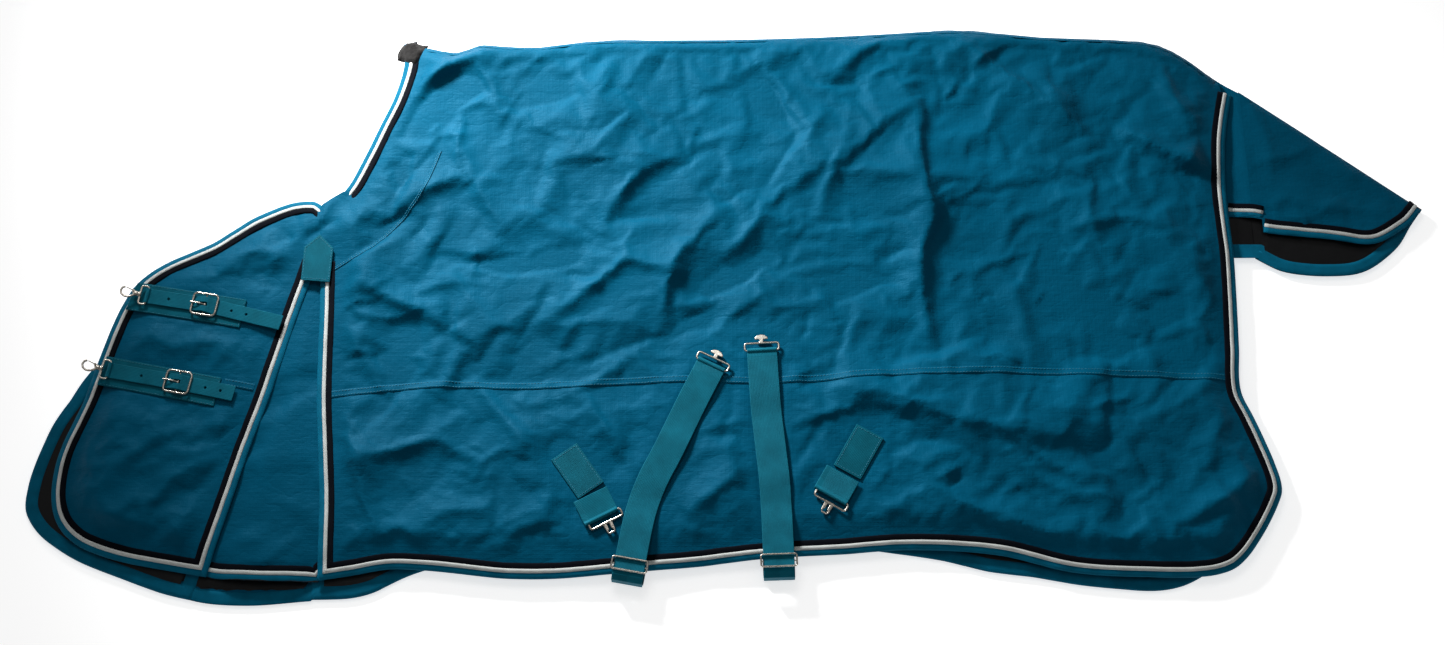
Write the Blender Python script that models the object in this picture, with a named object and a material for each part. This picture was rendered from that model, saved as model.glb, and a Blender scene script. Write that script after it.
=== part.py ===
"""Turnout rug for a horse, folded in half along its back seam and lying on its far side.

Metres, +Z up.  +X runs from the chest to the tail and +Y from the hem to the back seam.
The origin is on the floor under the middle of the barrel.  Each half of the rug is a
sandwich of shell, fill and lining, bound at its open edges.  The chest panels meet the
body at shoulder gussets, and the tail flap hangs from a strip at the rear edge.
"""

import math

import bmesh
import bpy
from mathutils import Matrix, Vector

# ---- driving dimensions -------------------------------------------------------------
GAP = 0.0003                    # clearance between pieces that touch
SHELL = 0.0010                  # outer fabric
FILL = 0.0080                   # quilted fibre fill
LINING = 0.0008                 # inner fabric
PANEL = SHELL + FILL + LINING + 2 * GAP
NEAR_BASE = 0.0190              # underside of the near half
NEAR_TOP = NEAR_BASE + PANEL
BINDING = 0.024                 # width of the edge binding
INSERT = 0.0020                 # gusset cloth
WEBBING = 0.0016                # thickness of the webbing
WIDE_WEBBING = 0.048
NARROW_WEBBING = 0.025
ROD = 0.0019                    # radius of the fittings' wire
SPINE_AXIS_Y = 0.532
GUSSET_PIVOT = Vector((-0.657, 0.095))
CORNER_GAP = 0.003              # half the space between the two cloths at the gusset's top
TAIL_HINGE_X = 0.866
TAIL_HINGE_Z = 0.0165
TAIL_FAR_BASE = 0.0070
TAIL_NEAR_BASE = 0.0160
TAIL_CLOTH = 0.0040
TAIL_STRIP_BASE = 0.0125
TAIL_STRIP_CLOTH = 0.0020
FLEECE_THICK = 0.0027
STEPS = 2                       # curve points for each stretch of an outline

# ---- outlines, as the few points each shape turns at ---------------------------------
SPINE = [
    (0.860, 0.408), (0.817, 0.447), (0.777, 0.480), (0.728, 0.503), (0.640, 0.511),
    (0.541, 0.515), (0.406, 0.528), (0.290, 0.522), (0.166, 0.515), (0.000, 0.510),
    (-0.209, 0.508), (-0.310, 0.496), (-0.379, 0.498), (-0.413, 0.500),
    (-0.453, 0.485), (-0.498, 0.494), (-0.532, 0.499),
]
NEAR_GUSSET_EDGE = [
    (-0.654, 0.095), (-0.649, 0.000), (-0.643, -0.140), (-0.627, -0.300), (-0.622, -0.428),
]
NEAR_HEM = [
    (-0.622, -0.428), (-0.565, -0.419), (-0.510, -0.410), (-0.433, -0.414), (-0.341, -0.424),
    (-0.264, -0.425), (-0.180, -0.419), (-0.035, -0.406), (0.058, -0.395), (0.196, -0.386),
    (0.273, -0.380), (0.366, -0.382), (0.442, -0.391), (0.518, -0.411), (0.578, -0.419),
    (0.655, -0.422), (0.731, -0.422), (0.789, -0.408), (0.830, -0.365), (0.866, -0.305),
    (0.873, -0.270), (0.855, -0.205), (0.825, -0.123),
]
NEAR_REAR = [
    (0.825, -0.123), (0.832, 0.020), (0.835, 0.115), (0.832, 0.220), (0.840, 0.320), (0.858, 0.400),
]
NEAR_NECK = [
    (-0.544, 0.497), (-0.540, 0.457), (-0.554, 0.395), (-0.572, 0.349), (-0.593, 0.294),
    (-0.617, 0.238), (-0.634, 0.216),
]
NEAR_CHEST = [
    (-0.672, 0.206), (-0.710, 0.204), (-0.774, 0.175), (-0.835, 0.132), (-0.905, 0.098),
    (-0.948, 0.064), (-0.970, 0.025), (-0.985, -0.020), (-1.000, -0.078), (-1.015, -0.141),
    (-1.038, -0.207), (-1.047, -0.255), (-1.045, -0.303), (-1.029, -0.343), (-0.994, -0.374),
    (-0.938, -0.395), (-0.876, -0.408), (-0.793, -0.422),
]
NEAR_CHEST_GUSSET = [
    (-0.793, -0.422), (-0.762, -0.300), (-0.745, -0.230), (-0.718, -0.135), (-0.690, -0.020),
    (-0.660, 0.095),
]

FAR_GUSSET_EDGE = [
    (-0.652, 0.095), (-0.648, 0.000), (-0.645, -0.140), (-0.640, -0.300), (-0.632, -0.455),
]
FAR_HEM = [
    (-0.632, -0.455), (-0.574, -0.453), (-0.534, -0.443), (-0.493, -0.422), (-0.430, -0.402),
    (-0.340, -0.398), (-0.200, -0.394), (-0.050, -0.388), (0.100, -0.376), (0.190, -0.374),
    (0.260, -0.382), (0.340, -0.394), (0.410, -0.411), (0.480, -0.420), (0.550, -0.432),
    (0.620, -0.439), (0.667, -0.441), (0.710, -0.433), (0.752, -0.410), (0.790, -0.370),
    (0.822, -0.310), (0.834, -0.240), (0.820, -0.150),
]
FAR_REAR = [
    (0.820, -0.150), (0.810, -0.050), (0.810, 0.100), (0.815, 0.250), (0.830, 0.340), (0.852, 0.400),
]
FAR_NECK = [
    (-0.534, 0.497), (-0.532, 0.457), (-0.545, 0.395), (-0.563, 0.349), (-0.585, 0.294),
    (-0.608, 0.238), (-0.630, 0.206),
]
FAR_CHEST = [
    (-0.674, 0.196), (-0.710, 0.190), (-0.770, 0.162), (-0.830, 0.118), (-0.895, 0.083),
    (-0.932, 0.050), (-0.955, 0.012), (-0.985, -0.045), (-1.022, -0.100), (-1.040, -0.135),
    (-1.062, -0.175), (-1.082, -0.239), (-1.089, -0.282), (-1.087, -0.316), (-1.066, -0.348),
    (-1.036, -0.372), (-0.992, -0.397), (-0.927, -0.422), (-0.862, -0.445), (-0.815, -0.456),
]
FAR_CHEST_GUSSET = [
    (-0.815, -0.456), (-0.775, -0.290), (-0.745, -0.180), (-0.710, -0.060), (-0.680, 0.030),
    (-0.662, 0.095),
]

TAIL_TOP = [(0.872, 0.409), (1.000, 0.311), (1.155, 0.194)]
TAIL_NEAR_EDGE = [
    (1.131, 0.167), (1.102, 0.147), (1.073, 0.133), (1.045, 0.131), (1.000, 0.138), (0.912, 0.147),
    (0.887, 0.151),
]
TAIL_NEAR_STEP = [(0.887, 0.174), (0.872, 0.177)]
TAIL_FAR_EDGE = [
    (1.132, 0.163), (1.112, 0.133), (1.086, 0.109), (1.058, 0.090), (1.029, 0.080), (0.988, 0.077),
    (0.947, 0.079), (0.909, 0.087), (0.872, 0.108),
]
TAIL_STRIP = [(0.770, 0.115), (0.863, 0.115), (0.863, 0.385), (0.790, 0.400)]

GUSSET_TOP = [(-0.625, 0.050), (-0.688, 0.050)]
NEAR_GUSSET_HEM = [
    (-0.865, -0.385), (-0.793, -0.421), (-0.723, -0.428), (-0.622, -0.429), (-0.588, -0.398),
]
FAR_GUSSET_HEM = [
    (-0.880, -0.425), (-0.815, -0.456), (-0.735, -0.464), (-0.632, -0.457), (-0.598, -0.420),
]

FRONT_SURCINGLE = [
    (-0.0190, -0.0865), (-0.055, -0.160), (-0.083, -0.222), (-0.109, -0.274), (-0.127, -0.327),
    (-0.1425, -0.409),
]
REAR_SURCINGLE = [
    (0.0630, -0.0625), (0.068, -0.147), (0.075, -0.217), (0.082, -0.288), (0.0865, -0.402),
]

GUSSET_TAB = [(-0.682, 0.062), (-0.635, 0.058), (-0.633, 0.118), (-0.657, 0.142), (-0.681, 0.120)]
WITHERS_PATCH = [
    (-0.552, 0.470), (-0.550, 0.486), (-0.538, 0.500), (-0.503, 0.496), (-0.520, 0.458),
]
CHEST_BANDS = {
    "upper": [(-0.945, 0.058), (-0.766, 0.028), (-0.774, -0.020), (-0.960, 0.011)],
    "lower": [(-0.981, -0.068), (-0.795, -0.104), (-0.803, -0.152), (-0.991, -0.116)],
}


# ---- materials ------------------------------------------------------------------------
def material(name, colour, roughness, metallic=0.0):
    made = bpy.data.materials.new(name)
    made.use_nodes = True
    made.diffuse_color = (*colour, 1.0)
    surface = made.node_tree.nodes["Principled BSDF"]
    surface.inputs["Base Color"].default_value = (*colour, 1.0)
    surface.inputs["Roughness"].default_value = roughness
    surface.inputs["Metallic"].default_value = metallic
    return made


# ---- plane geometry ---------------------------------------------------------------------
def smooth(points, steps=STEPS):
    """A Catmull-Rom curve through the points, with the given number of parts to a stretch."""
    points = [Vector(p) for p in points]
    ends = [2 * points[0] - points[1], *points, 2 * points[-1] - points[-2]]
    found = []
    for before, start, end, after in zip(ends, ends[1:], ends[2:], ends[3:]):
        for step in range(steps):
            t = step / steps
            found.append(0.5 * (
                2 * start + (end - before) * t
                + (2 * before - 5 * start + 4 * end - after) * t * t
                + (3 * start - before - 3 * end + after) * t ** 3
            ))
    return [*found, points[-1]]


def joined(*curves):
    """Curves end to end, each corner kept once."""
    found = list(curves[0])
    for curve in curves[1:]:
        found += curve[1:] if (found[-1] - curve[0]).length < 1e-6 else curve
    return found


def shifted(path, distance):
    """The path moved sideways, to the left of its direction, with mitred corners."""
    found = []
    for i, point in enumerate(path):
        before = (point - path[i - 1]).normalized() if i else None
        after = (path[i + 1] - point).normalized() if i + 1 < len(path) else None
        before, after = before or after, after or before
        normal = Vector((-(before + after).y, (before + after).x)).normalized()
        square = Vector((-after.y, after.x))
        found.append(point + normal * distance / max(normal.dot(square), 0.4))
    return found


# ---- solids -----------------------------------------------------------------------------
def finish(name, mesh, paint, smooth_angle=math.radians(40)):
    bmesh.ops.recalc_face_normals(mesh, faces=mesh.faces)
    data = bpy.data.meshes.new(name)
    mesh.to_mesh(data)
    mesh.free()
    data.shade_smooth()
    data.set_sharp_from_angle(angle=smooth_angle)
    data.materials.append(paint)
    made = bpy.data.objects.new(name, data)
    bpy.context.scene.collection.objects.link(made)
    return made


def slab(name, outline, low, high, paint):
    """A flat sheet of the outline's shape between two heights."""
    mesh = bmesh.new()
    base = mesh.faces.new([mesh.verts.new((p[0], p[1], low)) for p in outline])
    top = bmesh.ops.extrude_face_region(mesh, geom=[base])["geom"]
    lifted = [v for v in top if isinstance(v, bmesh.types.BMVert)]
    bmesh.ops.translate(mesh, verts=lifted, vec=(0, 0, high - low))
    return finish(name, mesh, paint)


def swept(name, rings, paint, closed=False):
    """A solid skinned over rings of points, with a cap at each end unless it is closed."""
    mesh = bmesh.new()
    loops = [[mesh.verts.new(p) for p in ring] for ring in rings]
    pairs = list(zip(loops, loops[1:]))
    if closed:
        pairs.append((loops[-1], loops[0]))
    else:
        mesh.faces.new(loops[0][::-1])
        mesh.faces.new(loops[-1])
    for first, second in pairs:
        for i in range(len(first)):
            j = (i + 1) % len(first)
            mesh.faces.new((first[i], first[j], second[j], second[i]))
    return finish(name, mesh, paint)


def directions(path, closed):
    """The mean direction of the path at each of its points."""
    count = len(path)
    found = []
    for i, point in enumerate(path):
        before = path[i - 1] if closed or i else point
        after = path[(i + 1) % count] if closed or i + 1 < count else point
        found.append((after - before).normalized())
    return found


def rod(name, path, radius, paint, closed=False, up=Vector((0, 0, 1)), sides=8):
    """A round wire along a path that lies near the plane square to up."""
    path = [Vector(p) for p in path]
    rings = []
    for point, along in zip(path, directions(path, closed)):
        side = up.cross(along).normalized()
        over = along.cross(side)
        turns = [2 * math.pi * (k + 0.5) / sides for k in range(sides)]
        rings.append([point + radius * (side * math.cos(a) + over * math.sin(a)) for a in turns])
    return swept(name, rings, paint, closed)


def ribbon(name, path, width, thickness, paint):
    """Webbing whose underside follows the path and whose width stays level."""
    path = [Vector(p) for p in path]
    level = [Vector((d.x, d.y, 0)) for d in directions(path, False)]
    rings = []
    for point, along, flat in zip(path, directions(path, False), level):
        side = Vector((-flat.y, flat.x, 0)).normalized() * width / 2
        over = along.cross(side).normalized() * thickness
        rings.append([point - side, point + side, point + side + over, point - side + over])
    return swept(name, rings, paint)


def rounded_loop(length, width, corner, steps=3):
    """A rectangle with round corners, centred, as points in the XY plane."""
    found = []
    for quarter, (sx, sy) in enumerate([(1, 1), (-1, 1), (-1, -1), (1, -1)]):
        centre = Vector((sx * (length / 2 - corner), sy * (width / 2 - corner), 0))
        for step in range(steps + 1):
            angle = math.pi / 2 * (quarter + step / steps)
            found.append(centre + corner * Vector((math.cos(angle), math.sin(angle), 0)))
    return found


def plate(name, outline, thickness, paint):
    """A sheet of metal centred on its own plane."""
    return slab(name, outline, -thickness / 2, thickness / 2, paint)


def tool(made):
    """Marks a shape that only cuts or joins another."""
    made.hide_render = True
    made.display_type = "WIRE"
    return made


def combine(made, other, operation):
    modifier = made.modifiers.new(operation.title(), "BOOLEAN")
    modifier.operation = operation
    modifier.object = tool(other)
    return made


def block(name, low, high):
    """A box used as a cutter."""
    corners = [(low[0], low[1]), (high[0], low[1]), (high[0], high[1]), (low[0], high[1])]
    return slab(name, corners, low[2], high[2], FABRIC)


def drum(name, centre, radius, half, axis, sides=12):
    """A short cylinder used as a cutter, a boss or a pin."""
    axis = Vector(axis).normalized()
    side = axis.orthogonal().normalized()
    over = axis.cross(side)
    rings = []
    for end in (-half, half):
        turns = [2 * math.pi * k / sides for k in range(sides)]
        rings.append([
            Vector(centre) + axis * end + radius * (side * math.cos(a) + over * math.sin(a)) for a in turns
        ])
    return swept(name, rings, FABRIC)


def placed(pieces, frame):
    """Moves pieces, and the tools of their modifiers, from a fitting's own frame into the rug's."""
    for piece in pieces:
        for modifier in piece.modifiers:
            modifier.object.matrix_world = frame @ modifier.object.matrix_world
        piece.matrix_world = frame @ piece.matrix_world
    return pieces


def pivot(name, frame, pieces, parent=None):
    """An empty on a joint's axis that carries the moving pieces, each kept where it is."""
    carrier = bpy.data.objects.new(name, None)
    carrier.empty_display_size = 0.02
    bpy.context.scene.collection.objects.link(carrier)
    carrier.matrix_world = frame
    if parent:
        attach([carrier], parent)
    attach(pieces, carrier)
    return carrier


def attach(pieces, carrier):
    for piece in pieces:
        piece.parent = carrier
        piece.matrix_parent_inverse = carrier.matrix_world.inverted()


def named(*names):
    return [bpy.data.objects[name] for name in names]


def frame_at(origin, along, tilt=0.0):
    """A frame at origin whose X runs along a level direction, raised by the tilt."""
    along = Vector((along[0], along[1], 0)).normalized()
    turn = Matrix.Rotation(math.atan2(along.y, along.x), 4, "Z")
    return Matrix.Translation(origin) @ turn @ Matrix.Rotation(-tilt, 4, "Y")


# ---- the rug's halves ----------------------------------------------------------------------
def sandwich(prefix, outline, base, outer_first):
    """Shell, fill and lining of one panel.  The near half has its shell on top."""
    layers = [("shell", SHELL, FABRIC), ("fill", FILL, WADDING), ("lining", LINING, NYLON)]
    if not outer_first:
        layers.reverse()
    for layer, thickness, paint in layers:
        slab(f"{prefix}_{layer}", outline, base, base + thickness, paint)
        base += thickness + GAP


def edge_strip(name, path, base, inwards):
    """Binding that closes the sandwich along a path.  Inwards is 1 when the cloth is on the path's left."""
    inner = shifted(path, inwards * BINDING)
    return slab(name, [*path, *reversed(inner)], base, base + PANEL, TAPE)


def spine_edge():
    """The fold line between the rear binding and the neck binding, tail end first."""
    first = Vector((0.8335, 0.4315))
    last = Vector((-0.508, 0.495))
    curve = [p for p in smooth(SPINE) if last.x < p.x < first.x]
    return [first, *curve, last]


def body_half(prefix, gusset, hem, rear, neck, base, outer_first):
    """One side of the rug behind the shoulder, with its two bindings."""
    bound = joined(smooth(gusset), smooth(hem), smooth(rear))
    collar = smooth(neck)
    edge_strip(f"{prefix}_hem_binding", bound, base, 1)
    edge_strip(f"{prefix}_neck_binding", collar, base, 1)
    inner = shifted(bound, BINDING + GAP)
    inner_collar = shifted(collar, BINDING + GAP)
    spine = [p - Vector((0, CORNER_GAP)) for p in spine_edge()]
    notch = [collar[-1] + Vector((0.004, -0.012)), bound[0] + Vector((0, CORNER_GAP))]
    sandwich(prefix, [*inner, *spine, *inner_collar[1:], *notch], base, outer_first)


def chest_half(prefix, chest, gusset, base, outer_first):
    """One chest panel, from the neck round the chest and hem and up to the gusset's top."""
    bound = joined(smooth(chest), smooth(gusset))
    edge_strip(f"{prefix}_binding", bound, base, 1)
    inner = shifted(bound, BINDING + GAP)
    sandwich(prefix, inner, base, outer_first)


def gusset_insert(name, hem, base):
    """The cloth that shows between the two gusset edges and slides under the chest panel."""
    slab(name, [*GUSSET_TOP, *hem], base, base + INSERT, FABRIC)


# ---- surcingles and their receivers --------------------------------------------------------
STRAP_LIFT = NEAR_TOP + 0.0036          # room under the strap for the slider's middle bar
STRAP_THICK = 0.0030                    # two layers of webbing
HEM_TURN = 0.020                        # from the last flat point to the drop over the hem
FOLD_Z = 0.0130                         # height of the line that the strap folds on
CHANNEL = 0.0032                        # depth that the anchor presses into the far half
ANCHOR_LENGTH = 0.105
CHANNEL_REACH = 0.06                    # how far the channel runs on past the hem
CHANNEL_HALF = 0.0265
STRAP_LOOP = 0.0040                     # radius of the loop that holds the T-hook
TAB_LOOP = 0.0036                       # radius of the loop that holds the receiver
PATCH_LENGTH = 0.077
TAB_START = 0.0050                      # from the patch's end to the tab
TAB_LENGTH = 0.037
TAB_LIFT = 0.0030
LOOP_REACH = 0.0030                     # from the end of the webbing to its fitting's bar


def surcingle(end, route):
    """One belly strap: sewn under the far half, round both hems and back over the near half."""
    plan = smooth(route, 3)
    foot = plan[-1]
    out = (plan[-1] - plan[-2]).normalized()
    turn = foot + out * HEM_TURN
    over = [Vector((p.x, p.y, STRAP_LIFT)) for p in plan]
    drop = [
        Vector((*(foot + out * HEM_TURN * 0.75), STRAP_LIFT)),
        Vector((*(turn + out * 0.001), STRAP_LIFT - 0.003)),
        Vector((*(turn + out * 0.002), FOLD_Z + 0.0012)),
    ]
    strap = ribbon(f"{end}_surcingle_strap", over + drop, WIDE_WEBBING, STRAP_THICK, STRAPPING)

    low = 0.0002
    heel = foot - out * (ANCHOR_LENGTH - HEM_TURN)
    under = [
        Vector((*heel, low)), Vector((*(foot + out * HEM_TURN * 0.8), low)),
        Vector((*(turn - out * 0.0005), low + 0.002)), Vector((*turn, FOLD_Z - 0.0012)),
    ]
    anchor = ribbon(f"{end}_surcingle_anchor", under, WIDE_WEBBING, WEBBING, STRAPPING)
    clear = 0.002
    reach = foot + out * CHANNEL_REACH
    middle = (heel - out * clear + reach) / 2
    half = ((reach - heel).length + clear) / 2
    cutter = block(
        f"{end}_anchor_channel", (-half, -CHANNEL_HALF, -clear), (half, CHANNEL_HALF, CHANNEL)
    )
    cutter.matrix_world = frame_at((*middle, 0), out)

    rise = (plan[0] - plan[1]).normalized()
    hook_frame = frame_at((*(plan[0] + rise * LOOP_REACH), STRAP_LIFT + STRAP_THICK / 2), rise)
    loop = drum(f"{end}_strap_loop", (0, 0, 0), STRAP_LOOP, WIDE_WEBBING / 2 - GAP, (0, 1, 0))
    bore = drum(f"{end}_strap_bore", (0, 0, 0), ROD + GAP, WIDE_WEBBING, (0, 1, 0))
    for shape in (loop, bore):
        shape.matrix_world = hook_frame
    combine(strap, loop, "UNION")
    combine(strap, bore, "DIFFERENCE")
    hook = placed([t_hook(f"{end}_t_hook")], hook_frame)
    slide_frame = frame_at((*(foot - out * 0.002), STRAP_LIFT), out)
    keeper = placed([slider(f"{end}_slider")], slide_frame)

    fold = pivot(f"{end}_surcingle_fold", frame_at((*(turn + out * 0.0035), FOLD_Z), out), [strap])
    pivot(f"{end}_t_hook_swing", hook_frame, hook, fold)
    pivot(f"{end}_slider_travel", slide_frame, keeper, fold)
    return cutter


def bracket(name):
    """The wire loop that webbing passes round, its hidden bar on the Y axis."""
    outline = [p + Vector((0.006, 0, 0)) for p in rounded_loop(0.012, 0.0542, 0.0032)]
    return rod(name, outline, ROD, STEEL, closed=True)


def t_hook(name):
    """Male half of a surcingle fastening: a loop, a neck and a T-shaped head."""
    made = bracket(name)
    half = 0.0105
    head = [
        (0.011, -0.0035), (0.018, -0.0030), (0.0185, -half), (0.0215, -half), (0.0250, -0.0060),
        (0.0265, 0.0), (0.0250, 0.0060), (0.0215, half), (0.0185, half), (0.018, 0.0030), (0.011, 0.0035),
    ]
    return combine(made, plate(name + "_head", head, 0.0028, STEEL), "UNION")


def receiver_clip(name):
    """Female half of a surcingle fastening: a loop and a slotted tongue that traps the T."""
    made = bracket(name)
    tongue = [
        (0.010, -0.0080), (0.027, -0.0068), (0.031, -0.0045),
        (0.031, 0.0045), (0.027, 0.0068), (0.010, 0.0080),
    ]
    combine(made, plate(name + "_tongue", tongue, 0.0028, STEEL), "UNION")
    slot = [
        (0.0145, -0.0020), (0.0235, -0.0020), (0.0250, -0.0040), (0.0280, -0.0040),
        (0.0280, 0.0040), (0.0250, 0.0040), (0.0235, 0.0020), (0.0145, 0.0020),
    ]
    return combine(made, plate(name + "_slot", slot, 0.01, STEEL), "DIFFERENCE")


def slider(name):
    """Adjuster whose two long bars lie over the strap and whose middle bar lies under it."""
    high = STRAP_THICK + ROD + 0.0004
    low = -0.0018
    frame = [p + Vector((0, 0, high)) for p in rounded_loop(0.019, 0.0550, 0.002, 1)]
    made = rod(name, frame, 0.0016, STEEL, closed=True)
    half = 0.0275
    bar = [(0, -half, high), (0, -half, low), (0, half, low), (0, half, high)]
    middle = rod(name + "_bar", bar, 0.0013, STEEL, up=Vector((1, 0, 0)))
    return combine(made, middle, "UNION")


def receiver(end, heel, patch_along, tab_along, carrier):
    """Sewn patch, folding tab and clip on the near half."""
    heel = Vector(heel)
    patch_along = Vector(patch_along).normalized()
    along = Vector(tab_along).normalized()
    side = Vector((-patch_along.y, patch_along.x)) * WIDE_WEBBING / 2
    foot = heel + patch_along * PATCH_LENGTH
    corners = [heel - side, heel + side, foot + side, foot - side]
    patch = slab(f"{end}_receiver_patch", corners, NEAR_TOP + GAP, NEAR_TOP + 2 * WEBBING, STRAPPING)
    start = foot + along * TAB_START
    stop = start + along * TAB_LENGTH
    low = NEAR_TOP + TAB_LIFT
    path = [Vector((*start, low)), Vector((*stop, low))]
    tab = ribbon(f"{end}_receiver_tab", path, WIDE_WEBBING, WEBBING, STRAPPING)
    clip_frame = frame_at((*(stop + along * LOOP_REACH), low + WEBBING / 2), along)
    loop = drum(f"{end}_tab_loop", (0, 0, 0), TAB_LOOP, WIDE_WEBBING / 2 - GAP, (0, 1, 0))
    bore = drum(f"{end}_tab_bore", (0, 0, 0), ROD + GAP, WIDE_WEBBING, (0, 1, 0))
    for shape in (loop, bore):
        shape.matrix_world = clip_frame
    combine(tab, loop, "UNION")
    combine(tab, bore, "DIFFERENCE")
    clip = placed([receiver_clip(f"{end}_receiver_clip")], clip_frame)
    attach([patch, tab], carrier)
    pivot(f"{end}_receiver_swing", clip_frame, clip, carrier)


# ---- chest straps ---------------------------------------------------------------------------
BAND_TOP = NEAR_TOP + GAP + WEBBING
EYE_HEIGHT = BAND_TOP + 0.0042
SNAP_TILT = math.radians(11)
FRAME_ROD = 0.0018
BAR_ROD = 0.0014
BAR_RISE = 0.0033                       # centre bar above the band
FRAME_RISE = 0.0056                     # frame above the band
BUCKLE_LENGTH = 0.040
BUCKLE_WIDTH = 0.0355


def chest_fastening(side, eye, buckle, tip, carrier):
    """Band, chape, buckle, strap and snap of one chest strap, from its eye back to its tip."""
    eye, buckle, tip = Vector(eye), Vector(buckle), Vector(tip)
    front = (buckle - eye).normalized()
    back = (tip - buckle).normalized()

    def weave(start, end, floor, hump):
        """Heights along the strap: low under the frame's ends and high over the centre bar."""
        spots = [start, -0.026, -0.018, -0.010, -0.004, 0.0, 0.004, 0.010, 0.018, 0.026, end]
        raised = {-0.010: 0.45, -0.004: 0.92, 0.0: 1.0, 0.004: 0.92, 0.010: 0.45}
        found = []
        for spot in spots:
            place = buckle + (front if spot < 0 else back) * spot
            found.append(Vector((*place, floor + raised.get(spot, 0.0) * (hump - floor))))
        return found

    chape_floor = BAND_TOP + GAP
    chape_thick = 0.0010
    hump = BAND_TOP + BAR_RISE + BAR_ROD + GAP
    strap_floor = chape_floor + chape_thick + 2 * GAP
    strap_hump = hump + chape_thick + 2 * GAP
    fold = weave(-0.046, 0.034, chape_floor, hump)
    chape = ribbon(f"{side}_chest_chape", fold, NARROW_WEBBING, chape_thick, STRAPPING)
    run = weave(-(buckle - eye).length + 0.0027, (tip - buckle).length, strap_floor, strap_hump)
    strap = ribbon(f"{side}_chest_strap", run, NARROW_WEBBING, WEBBING, STRAPPING)

    buckle_frame = frame_at((*buckle, BAND_TOP), -front)
    for piece in (chape, strap):
        slot = block(piece.name + "_slot", (-0.0045, -0.0030, -0.002), (0.0125, 0.0030, 0.02))
        slot.matrix_world = buckle_frame
        combine(piece, slot, "DIFFERENCE")
    for number, spot in enumerate((-0.060, 0.045, 0.070)):
        place = buckle + (front if spot < 0 else back) * spot
        if -spot < (buckle - eye).length - 0.02 and spot < (tip - buckle).length - 0.02:
            hole = drum(f"{side}_strap_hole_{number}", (*place, BAND_TOP), 0.0022, 0.02, (0, 0, 1), 8)
            combine(strap, hole, "DIFFERENCE")

    frame, prong = placed(
        [buckle_body(f"{side}_buckle_frame"), tongue(f"{side}_buckle_tongue")], buckle_frame
    )
    attach([chape, strap, frame], carrier)
    pivot(f"{side}_tongue_lift", buckle_frame @ Matrix.Translation((0, 0, BAR_RISE)), [prong], carrier)

    eye_frame = frame_at((*eye, EYE_HEIGHT), -front, SNAP_TILT)
    loop = drum(f"{side}_strap_eye", (0, 0, 0), 0.0035, NARROW_WEBBING / 2 - GAP, (0, 1, 0))
    bore = drum(f"{side}_strap_eye_bore", (0, 0, 0), 0.0021, NARROW_WEBBING, (0, 1, 0))
    for shape in (loop, bore):
        shape.matrix_world = eye_frame
    combine(strap, loop, "UNION")
    combine(strap, bore, "DIFFERENCE")
    eye, hook, gate = placed(
        [snap_eye(f"{side}_snap_eye"), snap_hook(f"{side}_snap_hook"), snap_gate(f"{side}_snap_gate")],
        eye_frame,
    )
    swing = pivot(f"{side}_snap_swing", eye_frame, [eye], carrier)
    swivel = pivot(f"{side}_snap_swivel", eye_frame @ Matrix.Translation((0.014, 0, 0)), [hook], swing)
    pivot(f"{side}_gate_press", eye_frame @ Matrix.Translation(GATE_PIN), [gate], swivel)


def buckle_body(name):
    """Rectangular frame with a cranked centre bar."""
    outline = [p + Vector((0, 0, FRAME_RISE)) for p in rounded_loop(BUCKLE_LENGTH, BUCKLE_WIDTH, 0.006)]
    made = rod(name, outline, FRAME_ROD, STEEL, closed=True)
    outer = BUCKLE_WIDTH / 2
    inner = 0.0150
    crank = [(0, -outer, FRAME_RISE), (0, -inner, BAR_RISE), (0, inner, BAR_RISE), (0, outer, FRAME_RISE)]
    bar = rod(name + "_bar", crank, BAR_ROD, STEEL, up=Vector((1, 0, 0)))
    return combine(made, bar, "UNION")


def tongue(name):
    """Prong looped on the centre bar, its tip resting on the frame's front bar."""
    rest = FRAME_RISE + FRAME_ROD + 0.0017
    path = [
        (0.0016, 0, BAR_RISE + 0.0021), (0.0070, 0, rest - 0.0008), (0.0120, 0, rest), (0.0228, 0, rest),
    ]
    made = rod(name, path, 0.0013, STEEL, up=Vector((0, 1, 0)))
    ring = drum(name + "_ring", (0, 0, BAR_RISE), 0.0029, 0.0018, (0, 1, 0))
    hole = drum(name + "_hole", (0, 0, BAR_RISE), BAR_ROD + GAP, 0.01, (0, 1, 0))
    combine(made, ring, "UNION")
    return combine(made, hole, "DIFFERENCE")


def snap_eye(name):
    """Square eye of the snap, with the collar that the hook swivels in."""
    outline = [p + Vector((0.0055, 0, 0)) for p in rounded_loop(0.011, 0.0305, 0.003, 2)]
    made = rod(name, outline, 0.0016, STEEL, closed=True)
    combine(made, drum(name + "_collar", (0.0125, 0, 0), 0.0042, 0.0022, (1, 0, 0)), "UNION")
    return combine(made, drum(name + "_throat", (0.0135, 0, 0), 0.0019, 0.0035, (1, 0, 0)), "DIFFERENCE")


GATE_PIN = Vector((0.0232, -0.0040, 0.0))


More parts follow.
